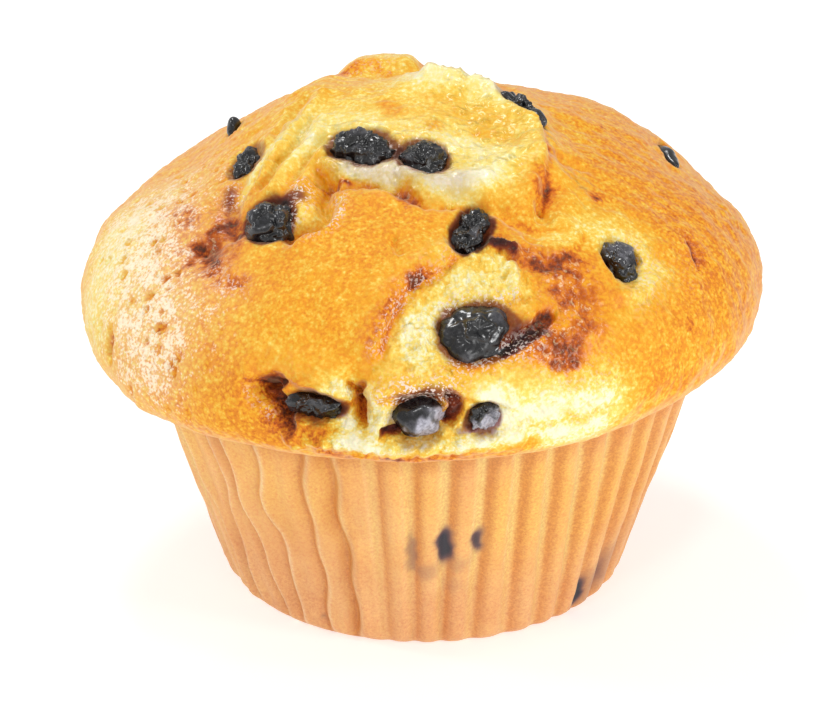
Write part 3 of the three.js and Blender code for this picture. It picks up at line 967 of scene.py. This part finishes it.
def juiced(node, colour, fields, grain):
    """Berry juice filters the light like ink, so the colour is multiplied by a ramp from clear through purple
    to a brown that is almost black."""
    patchy = node(RANGE, (grain["middle"], 0.3, 0.7, 0.88, 1.12), interpolation_type="SMOOTHSTEP")
    stain = node(MATHS, (fields["juice"], patchy), operation="MULTIPLY")
    stops = [
        (0.03, linear("#FFFFFF")),
        (0.12, linear("#E3DBE1")),
        (0.3, linear("#9E7587")),
        (0.5, linear("#6A3A3F")),
        (0.9, linear("#2C1920")),
    ]
    ink = node(RAMP, (stain,), stops)
    sockets = {SHARE: 1.0, UNDER: colour, OVER: ink}
    return node(MIX, sockets, out=MIXED, data_type="RGBA", blend_type="MULTIPLY")


def painted_highlights(node, colour, fields, grain, dark):
    """Painted highlights: thin curls of glint where the curl grain is near 0.5, broken up by the fine grain
    and only on wet, browned skin, and bright specks of painted glint where the glint-speck field is."""
    curls = node(MATHS, (grain["curls"], 0.5), operation="SUBTRACT")
    curls = node(MATHS, (curls,), operation="ABSOLUTE")
    painted_glints = node(MATHS, (dark, -0.3, 0.65), operation="MULTIPLY_ADD")
    painted_glints = node(MATHS, (painted_glints, fields["wet"]), operation="MULTIPLY")
    for value, none, full in (
        (curls, 0.05, 0.015),
        (grain["fine"], 0.51, 0.58),
        (fields["browning"], 0.60, 0.72),
    ):
        share = node(RANGE, (value, none, full), interpolation_type="SMOOTHSTEP")
        painted_glints = node(MATHS, (painted_glints, share), operation="MULTIPLY")
    specks = node(RANGE, (grain["glint_specks"], 0.54, 0.60), interpolation_type="SMOOTHSTEP")
    specks = node(MATHS, (specks, fields["glint_specks"]), operation="MULTIPLY")
    # Both colours are painted highlights mixed into the colour.
    for share, code in ((painted_glints, "#FFE3AC"), (specks, "#EBD9CE")):
        sockets = {SHARE: share, UNDER: colour, OVER: linear(code)}
        colour = node(MIX, sockets, out=MIXED, data_type="RGBA")
    return colour


def creased(node, fields, grain, dry):
    """Normal of the skin: square creases of wet skin and the grit of dry crumb, then soft lumps and pits."""
    creases = node(MATHS, (grain["creases"], 2.0, -1.0), operation="MULTIPLY_ADD")
    creases = node(MATHS, (creases, 2.0), operation="POWER")
    creases = node(MATHS, (creases, fields["wet"]), operation="MULTIPLY")
    grit = node(MATHS, (fields["flour"], fields["torn"]), operation="MAXIMUM")
    grit = node(MATHS, (grit, -0.8, -0.25), operation="MULTIPLY_ADD")
    for part in (grain["cell"], dry, 0.2):
        grit = node(MATHS, (grit, part), operation="MULTIPLY")
    height = node(MATHS, (creases, 1.3, grit), operation="MULTIPLY_ADD")
    normal = node(BUMP, {"Height": height, "Strength": 1.0, "Distance": MM})
    for bumps, depth in ((grain["lumps"], 0.26), (grain["pits"], 0.11)):
        normal = node(BUMP, {"Height": bumps, "Strength": 1.0, "Distance": depth * MM, "Normal": normal})
    return normal


def baked_crumb(settings):
    """Sponge baked in a hot oven, with a skin of egg and sugar on it. The skin browns from cream through
    gold and orange to dark caramel and is mottled grain by grain. On one shoulder it stayed dry and
    floury, which makes it dull, and where it set over wet batter it is tight, creased and glossy."""
    material, node = new_material("baked_muffin_crust")
    place = node(PLACE, out="Object")
    fields = {
        name: node(FIELD, out="Fac", attribute_name=name)
        for name in ("browning", "juice", "glint_specks", "flour", "torn", "wet")
    }
    grain = {
        name: node(NOISE, {"Vector": place, "Scale": per(size), "Detail": detail, "Roughness": 0.6})
        for name, size, detail in CRUST_GRAINS
    }
    grain["cell"] = node(CELLS, {"Vector": place, "Scale": per(CRUMB_CELL)})
    dark = node(RANGE, (fields["browning"], 0.68, 0.85), interpolation_type="SMOOTHSTEP")
    dry = node(MATHS, (fields["wet"], -0.8, 1.0), operation="MULTIPLY_ADD")

    colour = browned(node, settings, fields, grain, dark, dry)
    # Flour specks, partly painted glints.
    colour = flour_and_painted_glints(node, colour, fields, grain, dark)
    colour = juiced(node, colour, fields, grain)
    # Painted highlights drawn into the colour.
    colour = painted_highlights(node, colour, fields, grain, dark)
    # Painted sheen: seen at a slant, the crust is painted paler and pinker, a soft velvety sheen drawn into
    # the colour.
    facing = node(ANGLE, {"Blend": 0.5}, out="Facing")
    painted_sheen = node(RANGE, (facing, 0.45, 1.0, 0.0, 0.45), interpolation_type="SMOOTHSTEP")
    colour = node(MIX, {SHARE: painted_sheen, UNDER: colour, OVER: linear("#E9C5A2")}, out=MIXED, data_type="RGBA")

    sockets = {
        "Base Color": colour,
        "Roughness": node(RANGE, (fields["wet"], 0.1, 0.9, 0.7, 0.25), interpolation_type="SMOOTHSTEP"),
        "Normal": creased(node, fields, grain, dry),
        "IOR": 1.45,
        "Specular IOR Level": 0.4,
        "Subsurface Weight": 0.1,
        "Subsurface Radius": (1.0, 0.45, 0.15),
        "Subsurface Scale": 1.4 * MM,
    }
    node(OUTPUT, {"Surface": node(SURFACE, sockets)})
    return material


# ---- dried skin, paper and table ----


def dried_skin(settings):
    """Skin of a berry that dried in the oven and shrank into folds: almost black, painted a little lighter on
    the ridges and darker in the folds as highlight and shade, with grey waxy bloom in places. Its thin
    sugary coat gives it small sharp points of light."""
    material, node = new_material("dried_berry_skin")
    place = node(PLACE, out="Object")
    ridge = node(FIELD, out="Fac", attribute_name="ridge")
    bloom = node(FIELD, out="Fac", attribute_name="bloom")
    fine = node(NOISE, {"Vector": place, "Scale": per(0.4), "Detail": 3.0})
    # Painted shade in the folds and painted highlight on the ridges: the ramp runs from near black to grey.
    tone = node(MATHS, (ridge, fine), operation="MULTIPLY")
    stops = [(0.0, linear("#070607")), (0.4, tuple(settings.skin)), (0.85, linear("#2A2B30"))]
    colour = node(RAMP, (tone,), stops)
    patchy = node(RANGE, (fine, 0.3, 0.65, 0.45, 1.0))
    dusty = node(MATHS, (bloom, patchy), operation="MULTIPLY")
    colour = node(MIX, {SHARE: dusty, UNDER: colour, OVER: linear("#B4B2BE")}, out=MIXED, data_type="RGBA")
    sockets = {
        "Base Color": colour,
        "Roughness": node(RANGE, (fine, 0.3, 0.7, 0.2, 0.38)),
        "Normal": node(BUMP, {"Height": fine, "Strength": 0.6, "Distance": 0.05 * MM}),
        "IOR": 1.45,
        "Coat Weight": 0.45,
        "Coat Roughness": 0.15,
    }
    node(OUTPUT, {"Surface": node(SURFACE, sockets)})
    return material


# What tints the paper, in the order it is laid on: field, colour, strength.
PAPER_TINTS = (
    ("greasy", "#EBB04E", 0.75),
    ("peach", "#D89A68", 0.5),
    # Painted shade: one side of each flute's groove, the pleats' grooves and a band under the cap.
    ("painted_paper_shade", "#C8742C", 0.64),
    ("waxy", "#E2BE74", 0.85),
    # Painted highlight along the creases of the folds.
    ("crease", "#F2D9AC", 0.75),
)


def greaseproof_paper(settings):
    """Greaseproof baking paper, pressed into flutes and soaked with butter in the oven. It is thin, dull
    and waxy, and see-through enough that the crumb and the berries behind it show. It is paler on one
    side of each groove, with painted shade on the other side, in the pleats' grooves and under the cap,
    and a painted highlight along the creases. It is speckled with fibres. Real fibres are 0.05 mm wide,
    and are drawn 0.35 mm wide to show."""
    material, node = new_material("greaseproof_paper")
    place = node(PLACE, out="Object")
    fibre = node(NOISE, {"Vector": place, "Scale": per(0.35), "Detail": 3.0, "Roughness": 0.8})
    cloud = node(NOISE, {"Vector": place, "Scale": per(7.0), "Detail": 3.0})
    tone = node(MATHS, (fibre, 0.9, -0.4), operation="MULTIPLY_ADD")
    tone = node(MATHS, (cloud, 0.9, tone), operation="MULTIPLY_ADD")
    stops = [(0.2, linear("#ECBA7A")), (0.5, tuple(settings.paper)), (0.8, linear("#D58F55"))]
    colour = node(RAMP, (tone,), stops)
    for name, code, strength in PAPER_TINTS:
        field = node(FIELD, out="Fac", attribute_name=name)
        share = node(MATHS, (field, strength), operation="MULTIPLY")
        sockets = {SHARE: share, UNDER: colour, OVER: linear(code)}
        colour = node(MIX, sockets, out=MIXED, data_type="RGBA")
    speckle = node(RANGE, (fibre, 0.32, 0.68))
    sockets = {SHARE: 0.32, UNDER: colour, OVER: speckle}
    colour = node(MIX, sockets, out=MIXED, data_type="RGBA", blend_type="OVERLAY")
    stain = node(FIELD, out="Fac", attribute_name="stain")
    stops = [(0.1, linear("#B27F5B")), (0.5, linear("#7C5650")), (0.9, linear("#33323B"))]
    shadow = node(RAMP, (stain,), stops)
    share = node(MATHS, (stain, 1.5), operation="MULTIPLY", use_clamp=True)
    colour = node(MIX, {SHARE: share, UNDER: colour, OVER: shadow}, out=MIXED, data_type="RGBA")
    sockets = {
        "Base Color": colour,
        "Roughness": 0.5,
        "Normal": node(BUMP, {"Height": fibre, "Strength": 0.5, "Distance": 0.1 * MM}),
        "IOR": 1.45,
        "Subsurface Weight": 0.1,
        "Subsurface Radius": (1.0, 0.5, 0.2),
        "Subsurface Scale": 1.0 * MM,
    }
    node(OUTPUT, {"Surface": node(SURFACE, sockets)})
    return material


def opal_acrylic():
    """Opal acrylic sheet, cast flat and lit from below: even and white, so that the shadow on it is faint."""
    material, node = new_material("opal_acrylic_table")
    place = node(PLACE, out="Object")
    cloud = node(NOISE, {"Vector": place, "Scale": per(200.0), "Detail": 2.0})
    sockets = {
        "Base Color": node(RAMP, (cloud,), [(0.3, linear("#C9C8C6")), (0.7, linear("#CFCECC"))]),
        "Roughness": 0.6,
        "IOR": 1.45,
        "Emission Color": (1.0, 1.0, 1.0),
        "Emission Strength": 0.56,
    }
    node(OUTPUT, {"Surface": node(SURFACE, sockets)})
    return material


# ---- pieces ----


class MUFFIN_OT_crust(bpy.types.Operator):
    """The whole cake: cap with its relief and browning, underside, and the side inside the case"""

    bl_idname = "muffin.crust"
    bl_label = "Crust"

    def execute(self, context):
        settings = context.scene.muffin_crust
        curl = np.linspace(180, 90, CURL_ROWS, endpoint=False)
        dome = np.linspace(90, 0, settings.rows, endpoint=False)
        tilt = np.concatenate([curl, dome])[:, None]
        even = np.arange(settings.columns) * 360.0 / settings.columns
        # Columns stand closer together in front, where the finest relief is.
        turn = (even - math.degrees(CROWDING) * np.sin(np.radians(even - FRONT)))[None, :]
        plain = main_form(turn, tilt)
        out = main_normal(turn, np.broadcast_to(tilt, plain.shape[:2]))
        fields, height = self.surface(plain, out, settings)
        fade = smoothstep(180.0 - tilt, 0.0, 60.0)
        cap = plain + (fade * height)[..., None] * out
        crown = (main_form(0, 0) + main_normal(0, 0) * height[-1].mean())[None]
        foot, side = self.side(turn)

        def all_points(values):
            """Values of the cap's points, with 0 below them and the last row's mean for the crown."""
            hidden = np.zeros(1 + side[..., 0].size)
            return np.concatenate([hidden, values.ravel(), [values[-1].mean()]])

        points = np.concatenate([foot, side.reshape(-1, 3), cap.reshape(-1, 3), crown])
        fields = {name: all_points(values) for name, values in fields.items()}
        crust = mesh_object("crust", points, closed_rings(len(side) + len(tilt), settings.columns), fields)
        crust.data.materials.append(baked_crumb(settings))
        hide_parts("cake")
        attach(crust, "root")
        return {"FINISHED"}

    def surface(self, plain, out, settings):
        """Named values for the points of the cap, and their height over the plain form in mm: the relief,
        ledges and cavities, lumps, grain, crumble where torn, creases where wet, and pores where floury."""
        bent = warped(warped(plain, 3.2, 0.5, 5), 1.1, 0.16, 6)
        frayed = warped(warped(plain, 4.5, 1.0, 11), 1.2, 0.5, 12)
        sockets, rims, halo = berry_marks(bent)
        drop, opened, hollow, soaked = cavity_marks(bent)
        edges, painted_ledge_shade = ledges(bent, out)
        torn, wet, flour, glint_specks = (
            np.clip(painted(frayed, spots), 0.0, 1.0) for spots in (TORN, WET, FLOUR, GLINT_SPECKS)
        )
        wet = wet * (1.0 - 0.6 * torn)
        crumble = 0.9 * (0.5 - cells(frayed, 1.7, 51)) + 0.5 * (0.5 - cells(plain, 0.85, 52))
        pores = smoothstep(0.31 - cells(plain * np.array([1.4, 1.4, 0.7]), 2.8, 61), 0.0, 0.08)
        pores = pores * smoothstep(noise(plain, 5.0, 62), -0.3, 0.2)

        # Painted shade along the foot of each ledge darkens the browning here.
        browning = EVEN_GOLD + painted(frayed, BROWNING) + 0.22 * painted_ledge_shade
        browning += np.clip(browning - 0.58, 0.0, 0.2) * layered(bent, 1.3, 33, 2)
        # Inside the cavities the browning is raised to at least even gold, and more: partly caramel, partly
        # painted shade of the recess.
        browning = browning + opened * np.maximum(0.5 - browning, 0.0) + hollow
        browning = np.minimum(browning, DARKEST)

        lumps = 0.6 * layered(plain, 7.0, 21, 2) + 0.4 * layered(plain, 2.6, 25, 2)
        height = relief(bent, MAIN_RELIEF) + relief(bent, FINE_RELIEF) + edges - drop
        height += settings.lumps / MM * lumps
        height += settings.grain / MM * (0.6 + 1.2 * torn) * layered(plain, 1.2, 41, 2)
        height += 1.3 * torn * crumble
        height += 0.6 * wet * noise(warped(plain, 2.0, 0.6, 46), 1.8, 45) ** 2
        height -= 0.6 * (0.12 + 0.88 * flour) * pores
        height += 0.18 * (1.0 - torn) * rims - 1.1 * sockets
        fields = {
            # Torn crumb is painted paler on its bumps and browner in its pits: painted light and shade.
            "browning": browning + 0.16 * pores * flour - 0.26 * torn * (1.0 - opened) * crumble,
            "juice": np.clip(painted(bent, JUICE) + soaked + 0.7 * halo, 0.0, 1.0),
            "glint_specks": glint_specks,
            "flour": flour * (1.0 - pores),
            "torn": torn,
            "wet": wet * (1.0 - 0.7 * opened),
        }
        return fields, height

    def side(self, turn):
        """The middle of the floor, then rings up the side of the cake inside the case and out over its
        rim: r = base radius + flare z - inset, and the roof's radius for the last ring."""
        z = np.array([CAKE_FLOOR_Z, 0.5 * CASE_HEIGHT, CASE_HEIGHT, CAP_UNDERSIDE_Z])
        r = BASE_RADIUS + CASE_FLARE * z - WALL_INSET
        r[-1] = ROOF_RADIUS
        angle = np.radians(turn)
        r, height = r[:, None], z[:, None] + 0 * angle
        rings = np.stack([r * np.cos(angle), r * np.sin(angle), height], -1)
        return np.array([[0.0, 0.0, z[0]]]), rings


class MUFFIN_OT_berries(bpy.types.Operator):
    """Thirteen dried berries, each a wrinkled ellipsoid where its solid is"""

    bl_idname = "muffin.berries"
    bl_label = "Berries"

    def execute(self, context):
        settings = context.scene.muffin_berries
        skin = dried_skin(settings)
        rows, columns = settings.rows, settings.rows * 3 // 2
        polar = np.linspace(math.pi, 0, rows + 2)[:, None]
        turn = np.arange(columns)[None, :] * 2 * math.pi / columns
        sphere = np.stack(
            [np.sin(polar) * np.cos(turn), np.sin(polar) * np.sin(turn), np.cos(polar) + 0 * turn], -1
        )
        unit = np.concatenate([sphere[:1, 0], sphere[1:-1].reshape(-1, 3), sphere[-1:, 0]])
        faces = closed_rings(rows, columns)
        for number in range(1, len(BERRIES) + 1):
            points, fields = self.shrivelled(number, unit, settings.wrinkle / MM)
            berry = mesh_object(f"berry_skin_{number:02d}", points, faces, fields)
            berry.data.materials.append(skin)
            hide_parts(f"berry_{number:02d}")
            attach(berry, "root")
        return {"FINISHED"}

    def shrivelled(self, number, unit, wrinkle):
        """Points of one berry and its ridge and bloom. The ellipsoid is moved in or out by depth x wrinkle x
        (ridge - 0.6) + 0.55 dents - waist x bell(x / 0.35). The folds are 2.6 (|noise| + 0.35 |finer noise|):
        a ridge is 1 - folds where the skin has sharp crests and folds where it has flat facets."""
        berry = BERRIES[number - 1]
        ball = unit * np.array(berry.size) / 2
        bent = warped(ball, 1.5, 0.45, 200 + number)
        broad = np.abs(noise(bent, berry.width, 300 + number))
        narrow = np.abs(noise(bent, 0.45 * berry.width, 400 + number))
        folds = np.clip(2.6 * (broad + 0.35 * narrow), 0.0, 1.5)
        ridge = berry.crease * folds + (1.0 - berry.crease) * (1.0 - folds)
        dents = noise(ball, 2.8, 500 + number) + 0.5 * noise(ball, 1.5, 700 + number)
        rise = berry.depth * wrinkle * (ridge - 0.6) + 0.55 * dents
        rise -= berry.waist * bell(unit[:, 0], 0.35)
        if number == CALYX_BERRY:
            # The scar of the flower: a small crown of five lobes with a dimple in it.
            crown = np.hypot(unit[:, 0] - 0.05, unit[:, 1] + 0.05) + 2.0 * (unit[:, 2] < 0)
            lobes = 0.30 + 0.04 * np.cos(5 * np.arctan2(unit[:, 1], unit[:, 0]))
            rise += 0.35 * bell(crown - lobes, 0.08) - 0.4 * bell(crown, 0.2)
        grown = ball * (1.0 + rise / np.linalg.norm(ball, axis=-1))[:, None]
        along, across, out = berry_axes(berry.place, berry.heading)
        points = berry_middle(number) + grown @ np.stack([along, across, out])
        bloom = 0.12 * smoothstep(dents, 0.1, 0.7)
        for owner, toward, strength in BLOOM:
            if owner == number:
                facing = unit @ (np.array(toward) / np.linalg.norm(toward))
                bloom += strength * smoothstep(facing + 0.5 * layered(ball, 1.5, 600, 2), 0.3, 0.8)
        return points, {"ridge": np.clip(ridge, 0.0, 1.0), "bloom": np.clip(bloom, 0.0, 1.0)}


class MUFFIN_OT_case(bpy.types.Operator):
    """The fluted paper case, folded outside and inside, with its flat base"""

    bl_idname = "muffin.case"
    bl_label = "Paper case"

    def execute(self, context):
        settings = context.scene.muffin_case
        columns = FLUTE_COUNT * settings.columns
        thickness = settings.thickness / MM
        turn = (np.arange(columns) * 2 * math.pi / columns - math.pi)[None, :]
        up = np.linspace(CASE_FOOT_HEIGHT, CASE_HEIGHT, WALL_ROWS)
        heights = np.concatenate([[z for z, _ in CASE_FOOT], up])[:, None]
        shares = np.concatenate([[share for _, share in CASE_FOOT], np.ones(WALL_ROWS)])[:, None]
        outer = self.wall(turn, heights, shares, 0.0)
        inner = self.wall(turn, heights, shares, thickness)
        inner[..., 2] = np.maximum(inner[..., 2], thickness)
        inner[-1, :, 2] = CASE_HEIGHT
        rings = np.concatenate([outer, inner[::-1]])
        points = np.concatenate([[[0, 0, 0.0]], rings.reshape(-1, 3), [[0, 0, thickness]]])
        fields = {**self.tones(turn, heights), "stain": self.stains(turn, heights)}
        both = {
            name: np.concatenate([[0.0], values.ravel(), values[::-1].ravel(), [0.0]])
            for name, values in fields.items()
        }
        case = mesh_object("case_paper", points, closed_rings(2 * len(heights), columns), both)
        case.data.materials.append(greaseproof_paper(settings))
        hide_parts("paper_case")
        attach(case, "root")
        return {"FINISHED"}

    def phase(self, turn, z):
        """Angle within a flute, 0 at the bottom of its groove: N turn + 2.8 sin(2 (turn + 75 degrees)) - 2.66
        + wander. Towards the right the flutes lean, so the turn is first moved by lean x (1 - z / height)."""
        degrees = np.degrees(turn)
        lean = FLUTE_LEAN * smoothstep(degrees, -85.0, -50.0) * smoothstep(-degrees, -60.0, 20.0)
        turn = turn - lean * (1.0 - z / CASE_HEIGHT)
        pitch = 2.8 * np.sin(2 * (turn + np.radians(75.0))) - 2.66
        wander = FLUTE_WANDER * (np.sin(3 * turn + 2.0) + 0.5 * np.sin(7 * turn + 1))
        angle = FLUTE_COUNT * turn + pitch + wander
        return (angle + math.pi) % (2 * math.pi) - math.pi

    def pleats(self, turn, z):
        """Height, painted crease highlight and painted groove shade of the crushed pleats, from the distance
        to
            each route in mm, positive to its right: height = 1.4 crest bell(side - 0.5) - 1.4 groove
                bell(side + 1.2)."""
        height, crease, hollow = (np.zeros(np.broadcast(turn, z).shape) for _ in range(3))
        for crest, groove, pale, route in PLEATS:
            azimuths, heights = np.array(route).T
            line = np.interp(z, heights, azimuths) + 0.5 * np.sin(z / 1.7 + azimuths[0])
            side = np.radians((np.degrees(turn) - line + 180.0) % 360.0 - 180.0) * MEAN_RADIUS
            height += 1.4 * crest * bell(side - 0.5, 0.9) - 1.4 * groove * bell(side + 1.2, 0.9)
            # Painted highlight along each pleat's crease, and painted shade in the groove on its left.
            crease += 0.8 * pale * bell(side - 0.1, 0.42)
            hollow += 2.4 * groove * bell(side + 0.85, 0.5)
        return height, crease, hollow

    def wall(self, turn, z, share, inset):
        """r = (base radius + flare z) share - flute depth x ((1 + cos phase) / 2)^1.6 + pleats - inset,
        faded towards the foot, and with the flutes flattened where the pleats are crushed."""
        fade = smoothstep(z, 0.0, CASE_FOOT_HEIGHT)
        crushed = self.crushed(turn)
        wave = (0.5 * (1 + np.cos(self.phase(turn, z)))) ** 1.6
        depth = FLUTE_DEPTH * (0.9 - 0.75 * crushed) * (0.4 + 0.6 * fade)
        r = (BASE_RADIUS + CASE_FLARE * z) * share - depth * wave
        r = r + self.pleats(turn, z)[0] * fade - 0.45 * crushed * fade
        r = r - 0.5 * (1 - fade) * (share > 0.6) - inset
        points = np.stack([r * np.cos(turn), r * np.sin(turn), z + 0 * turn], -1)
        crinkle = 0.12 * layered(points * np.array([1.0, 1.0, 0.45]), 2.6, 71)
        crinkle += 0.22 * noise(points * np.array([1.0, 1.0, 0.6]), 8.0, 75)
        out = np.stack([np.cos(turn) + 0 * z, np.sin(turn) + 0 * z, 0 * (turn + z)], -1)
        return points + (crinkle * fade * smoothstep(CASE_HEIGHT - z, 0.0, 2.0))[..., None] * out

    def crushed(self, turn):
        """1 in the middle of the crushed part at the left, 0 away from it."""
        return slab((np.degrees(turn) - CRUSHED_AZIMUTH + 180.0) % 360.0 - 180.0, CRUSHED_SPREAD)

    def tones(self, turn, z):
        """Named values for the paper: waxy pale strips on one side of each groove and painted shade on the
            other, both fading towards the foot, greasy and peach clouds, painted shade in the pleats' grooves
            and in a band under the cap, and painted highlights along the creases."""
        phase = self.phase(turn, z)
        regular = 1.0 - self.crushed(turn)
        fading = 0.3 + 0.7 * smoothstep(z, 4.0, 20.0)
        uneven = 1.1 + 0.4 * np.sin(9.0 * turn + 1.0) * np.cos(4.0 * turn)
        _, crease, hollow = self.pleats(turn, z)
        across = MEAN_RADIUS * np.cos(turn) + 0 * z
        deep = MEAN_RADIUS * np.sin(turn) + 0 * z
        side = np.stack([across, deep, 0.4 * z + 0 * turn], -1)
        greasy = smoothstep(z, 6.0, 26.0) * (0.35 + 0.9 * noise(side, 8.0, 91))
        greasy += 0.9 * bell(np.hypot(MEAN_RADIUS * (turn + np.radians(57.0)), z - 21.0), 12.0)
        # Painted shade on one side of each flute's groove.
        painted_paper_shade = bell(phase - 0.75, 0.5) + 0.6 * bell(phase - 1.5, 0.8)
        painted_paper_shade *= 1.2 * regular * (0.3 + 0.7 * fading)
        # More painted shade in the pleats' grooves and in a band just under the cap.
        painted_paper_shade += hollow + 0.8 * smoothstep(z, CASE_HEIGHT - 4.0, CASE_HEIGHT)
        fields = {
            "greasy": greasy,
            "waxy": regular * fading * uneven * bell(phase + 0.75, 0.9),
            "painted_paper_shade": painted_paper_shade,
            "peach": smoothstep(-z, -16.0, -4.0) * (0.7 + 0.8 * noise(side, 6.0, 92)),
            # Painted highlight along the pleats' creases and along a thin line in each flute.
            "crease": crease + 0.35 * regular * fading * bell(phase + 1.5, 0.16),
        }
        return {name: np.clip(values, 0.0, 1.0) for name, values in fields.items()}

    def stains(self, turn, z):
        """Dark marks of berries behind the paper: strength x exp(-(across^2 + up^2)^2), frayed."""
        total = np.zeros(np.broadcast(turn, z).shape)
        points = np.stack([MEAN_RADIUS * turn + 0 * z, z + 0 * turn, 0 * (turn + z)], -1)
        frayed = warped(points, 1.5, 0.5, 81)
        for azimuth, height, width, tall, strength in STAINS:
            across = (frayed[..., 0] - MEAN_RADIUS * np.radians(azimuth)) / width
            up = (frayed[..., 1] - height) / tall
            total += strength * slab(np.hypot(across, up), 1.0)
        return np.clip(total, 0.0, 1.0)


class MUFFIN_OT_studio(bpy.types.Operator):
    """White table, soft lights and the camera"""

    bl_idname = "muffin.studio"
    bl_label = "Studio"

    def execute(self, context):
        settings = context.scene.muffin_studio
        context.scene.view_settings.view_transform = "Standard"
        self.table()
        self.surround(context.scene, settings.sky)
        for name, size, power, share, place in SOFTBOXES:
            self.softbox(name, size, share * getattr(settings, power), place)
        self.camera(context.scene, settings)
        return {"FINISHED"}

    def table(self):
        """A flat round table top with a point underneath: rings at growing radius, all at z = 0."""
        radius = np.array(TABLE_RINGS)[:, None]
        turn = (np.arange(TABLE_COLUMNS) * 2 * math.pi / TABLE_COLUMNS)[None, :]
        flat = np.stack([radius * np.cos(turn), radius * np.sin(turn), 0 * radius * turn], -1)[::-1]
        points = np.concatenate([[[0, 0, -TABLE_THICKNESS]], flat.reshape(-1, 3), [[0, 0, 0.0]]])
        table = mesh_object("table", points, closed_rings(len(radius), TABLE_COLUMNS), smooth=False)
        table.data.materials.append(opal_acrylic())

    def surround(self, scene, strength):
        """An even white room round the table."""
        scene.world = bpy.data.worlds.new("white_surround")
        scene.world.use_nodes = True
        tree = scene.world.node_tree
        tree.nodes.clear()
        sky = add(tree, "ShaderNodeBackground", {"Color": (1.0, 1.0, 1.0), "Strength": strength})
        add(tree, "ShaderNodeOutputWorld", {"Surface": sky})

    def softbox(self, name, size, power, place):
        """A square area light that faces the muffin."""
        light = bpy.data.lights.new(name, "AREA")
        light.size = size
        light.energy = power
        made = bpy.data.objects.new(name, light)
        bpy.context.scene.collection.objects.link(made)
        toward = np.array(LIT_PLACE) - np.array(place)
        made.location = place
        flat = math.hypot(toward[0], toward[1])
        made.rotation_euler = (math.atan2(flat, -toward[2]), 0.0, math.atan2(-toward[0], toward[1]))

    def camera(self, scene, settings):
        """Long lens, level, looking down along +Y at the middle of the muffin."""
        data = bpy.data.cameras.new("camera")
        data.lens = settings.lens
        made = bpy.data.objects.new("camera", data)
        scene.collection.objects.link(made)
        back = np.array([0.0, -math.cos(settings.elevation), math.sin(settings.elevation)])
        made.location = np.array(AIM) * MM + settings.distance * back
        made.rotation_euler = (math.pi / 2 - settings.elevation, 0.0, 0.0)
        scene.camera = made


class MUFFIN_PT_panel(bpy.types.Panel):
    """Sizes and colours of the muffin, with a button for each group of pieces"""

    bl_label = "Muffin"
    bl_idname = "MUFFIN_PT_panel"
    bl_space_type = "VIEW_3D"
    bl_region_type = "UI"
    bl_category = "Muffin"

    def draw(self, context):
        for group, operator in GROUPS.items():
            box = self.layout.box()
            settings = getattr(context.scene, group)
            for name in settings.__annotations__:
                box.prop(settings, name)
            box.operator(operator.bl_idname)


GROUPS = {
    "muffin_studio": MUFFIN_OT_studio,
    "muffin_crust": MUFFIN_OT_crust,
    "muffin_berries": MUFFIN_OT_berries,
    "muffin_case": MUFFIN_OT_case,
}
SETTINGS = {
    "muffin_studio": MuffinStudio,
    "muffin_crust": MuffinCrust,
    "muffin_berries": MuffinBerries,
    "muffin_case": MuffinCase,
}


def register():
    for group, settings in SETTINGS.items():
        bpy.utils.register_class(settings)
        setattr(bpy.types.Scene, group, bpy.props.PointerProperty(type=settings))
        bpy.utils.register_class(GROUPS[group])
    bpy.utils.register_class(MUFFIN_PT_panel)


def unregister():
    bpy.utils.unregister_class(MUFFIN_PT_panel)
    for group, settings in SETTINGS.items():
        bpy.utils.unregister_class(GROUPS[group])
        delattr(bpy.types.Scene, group)
        bpy.utils.unregister_class(settings)


def main():
    register()
    for operator in GROUPS.values():
        verb = operator.bl_idname.split(".")[1]
        getattr(bpy.ops.muffin, verb)()


if __name__ == "__main__":
    main()
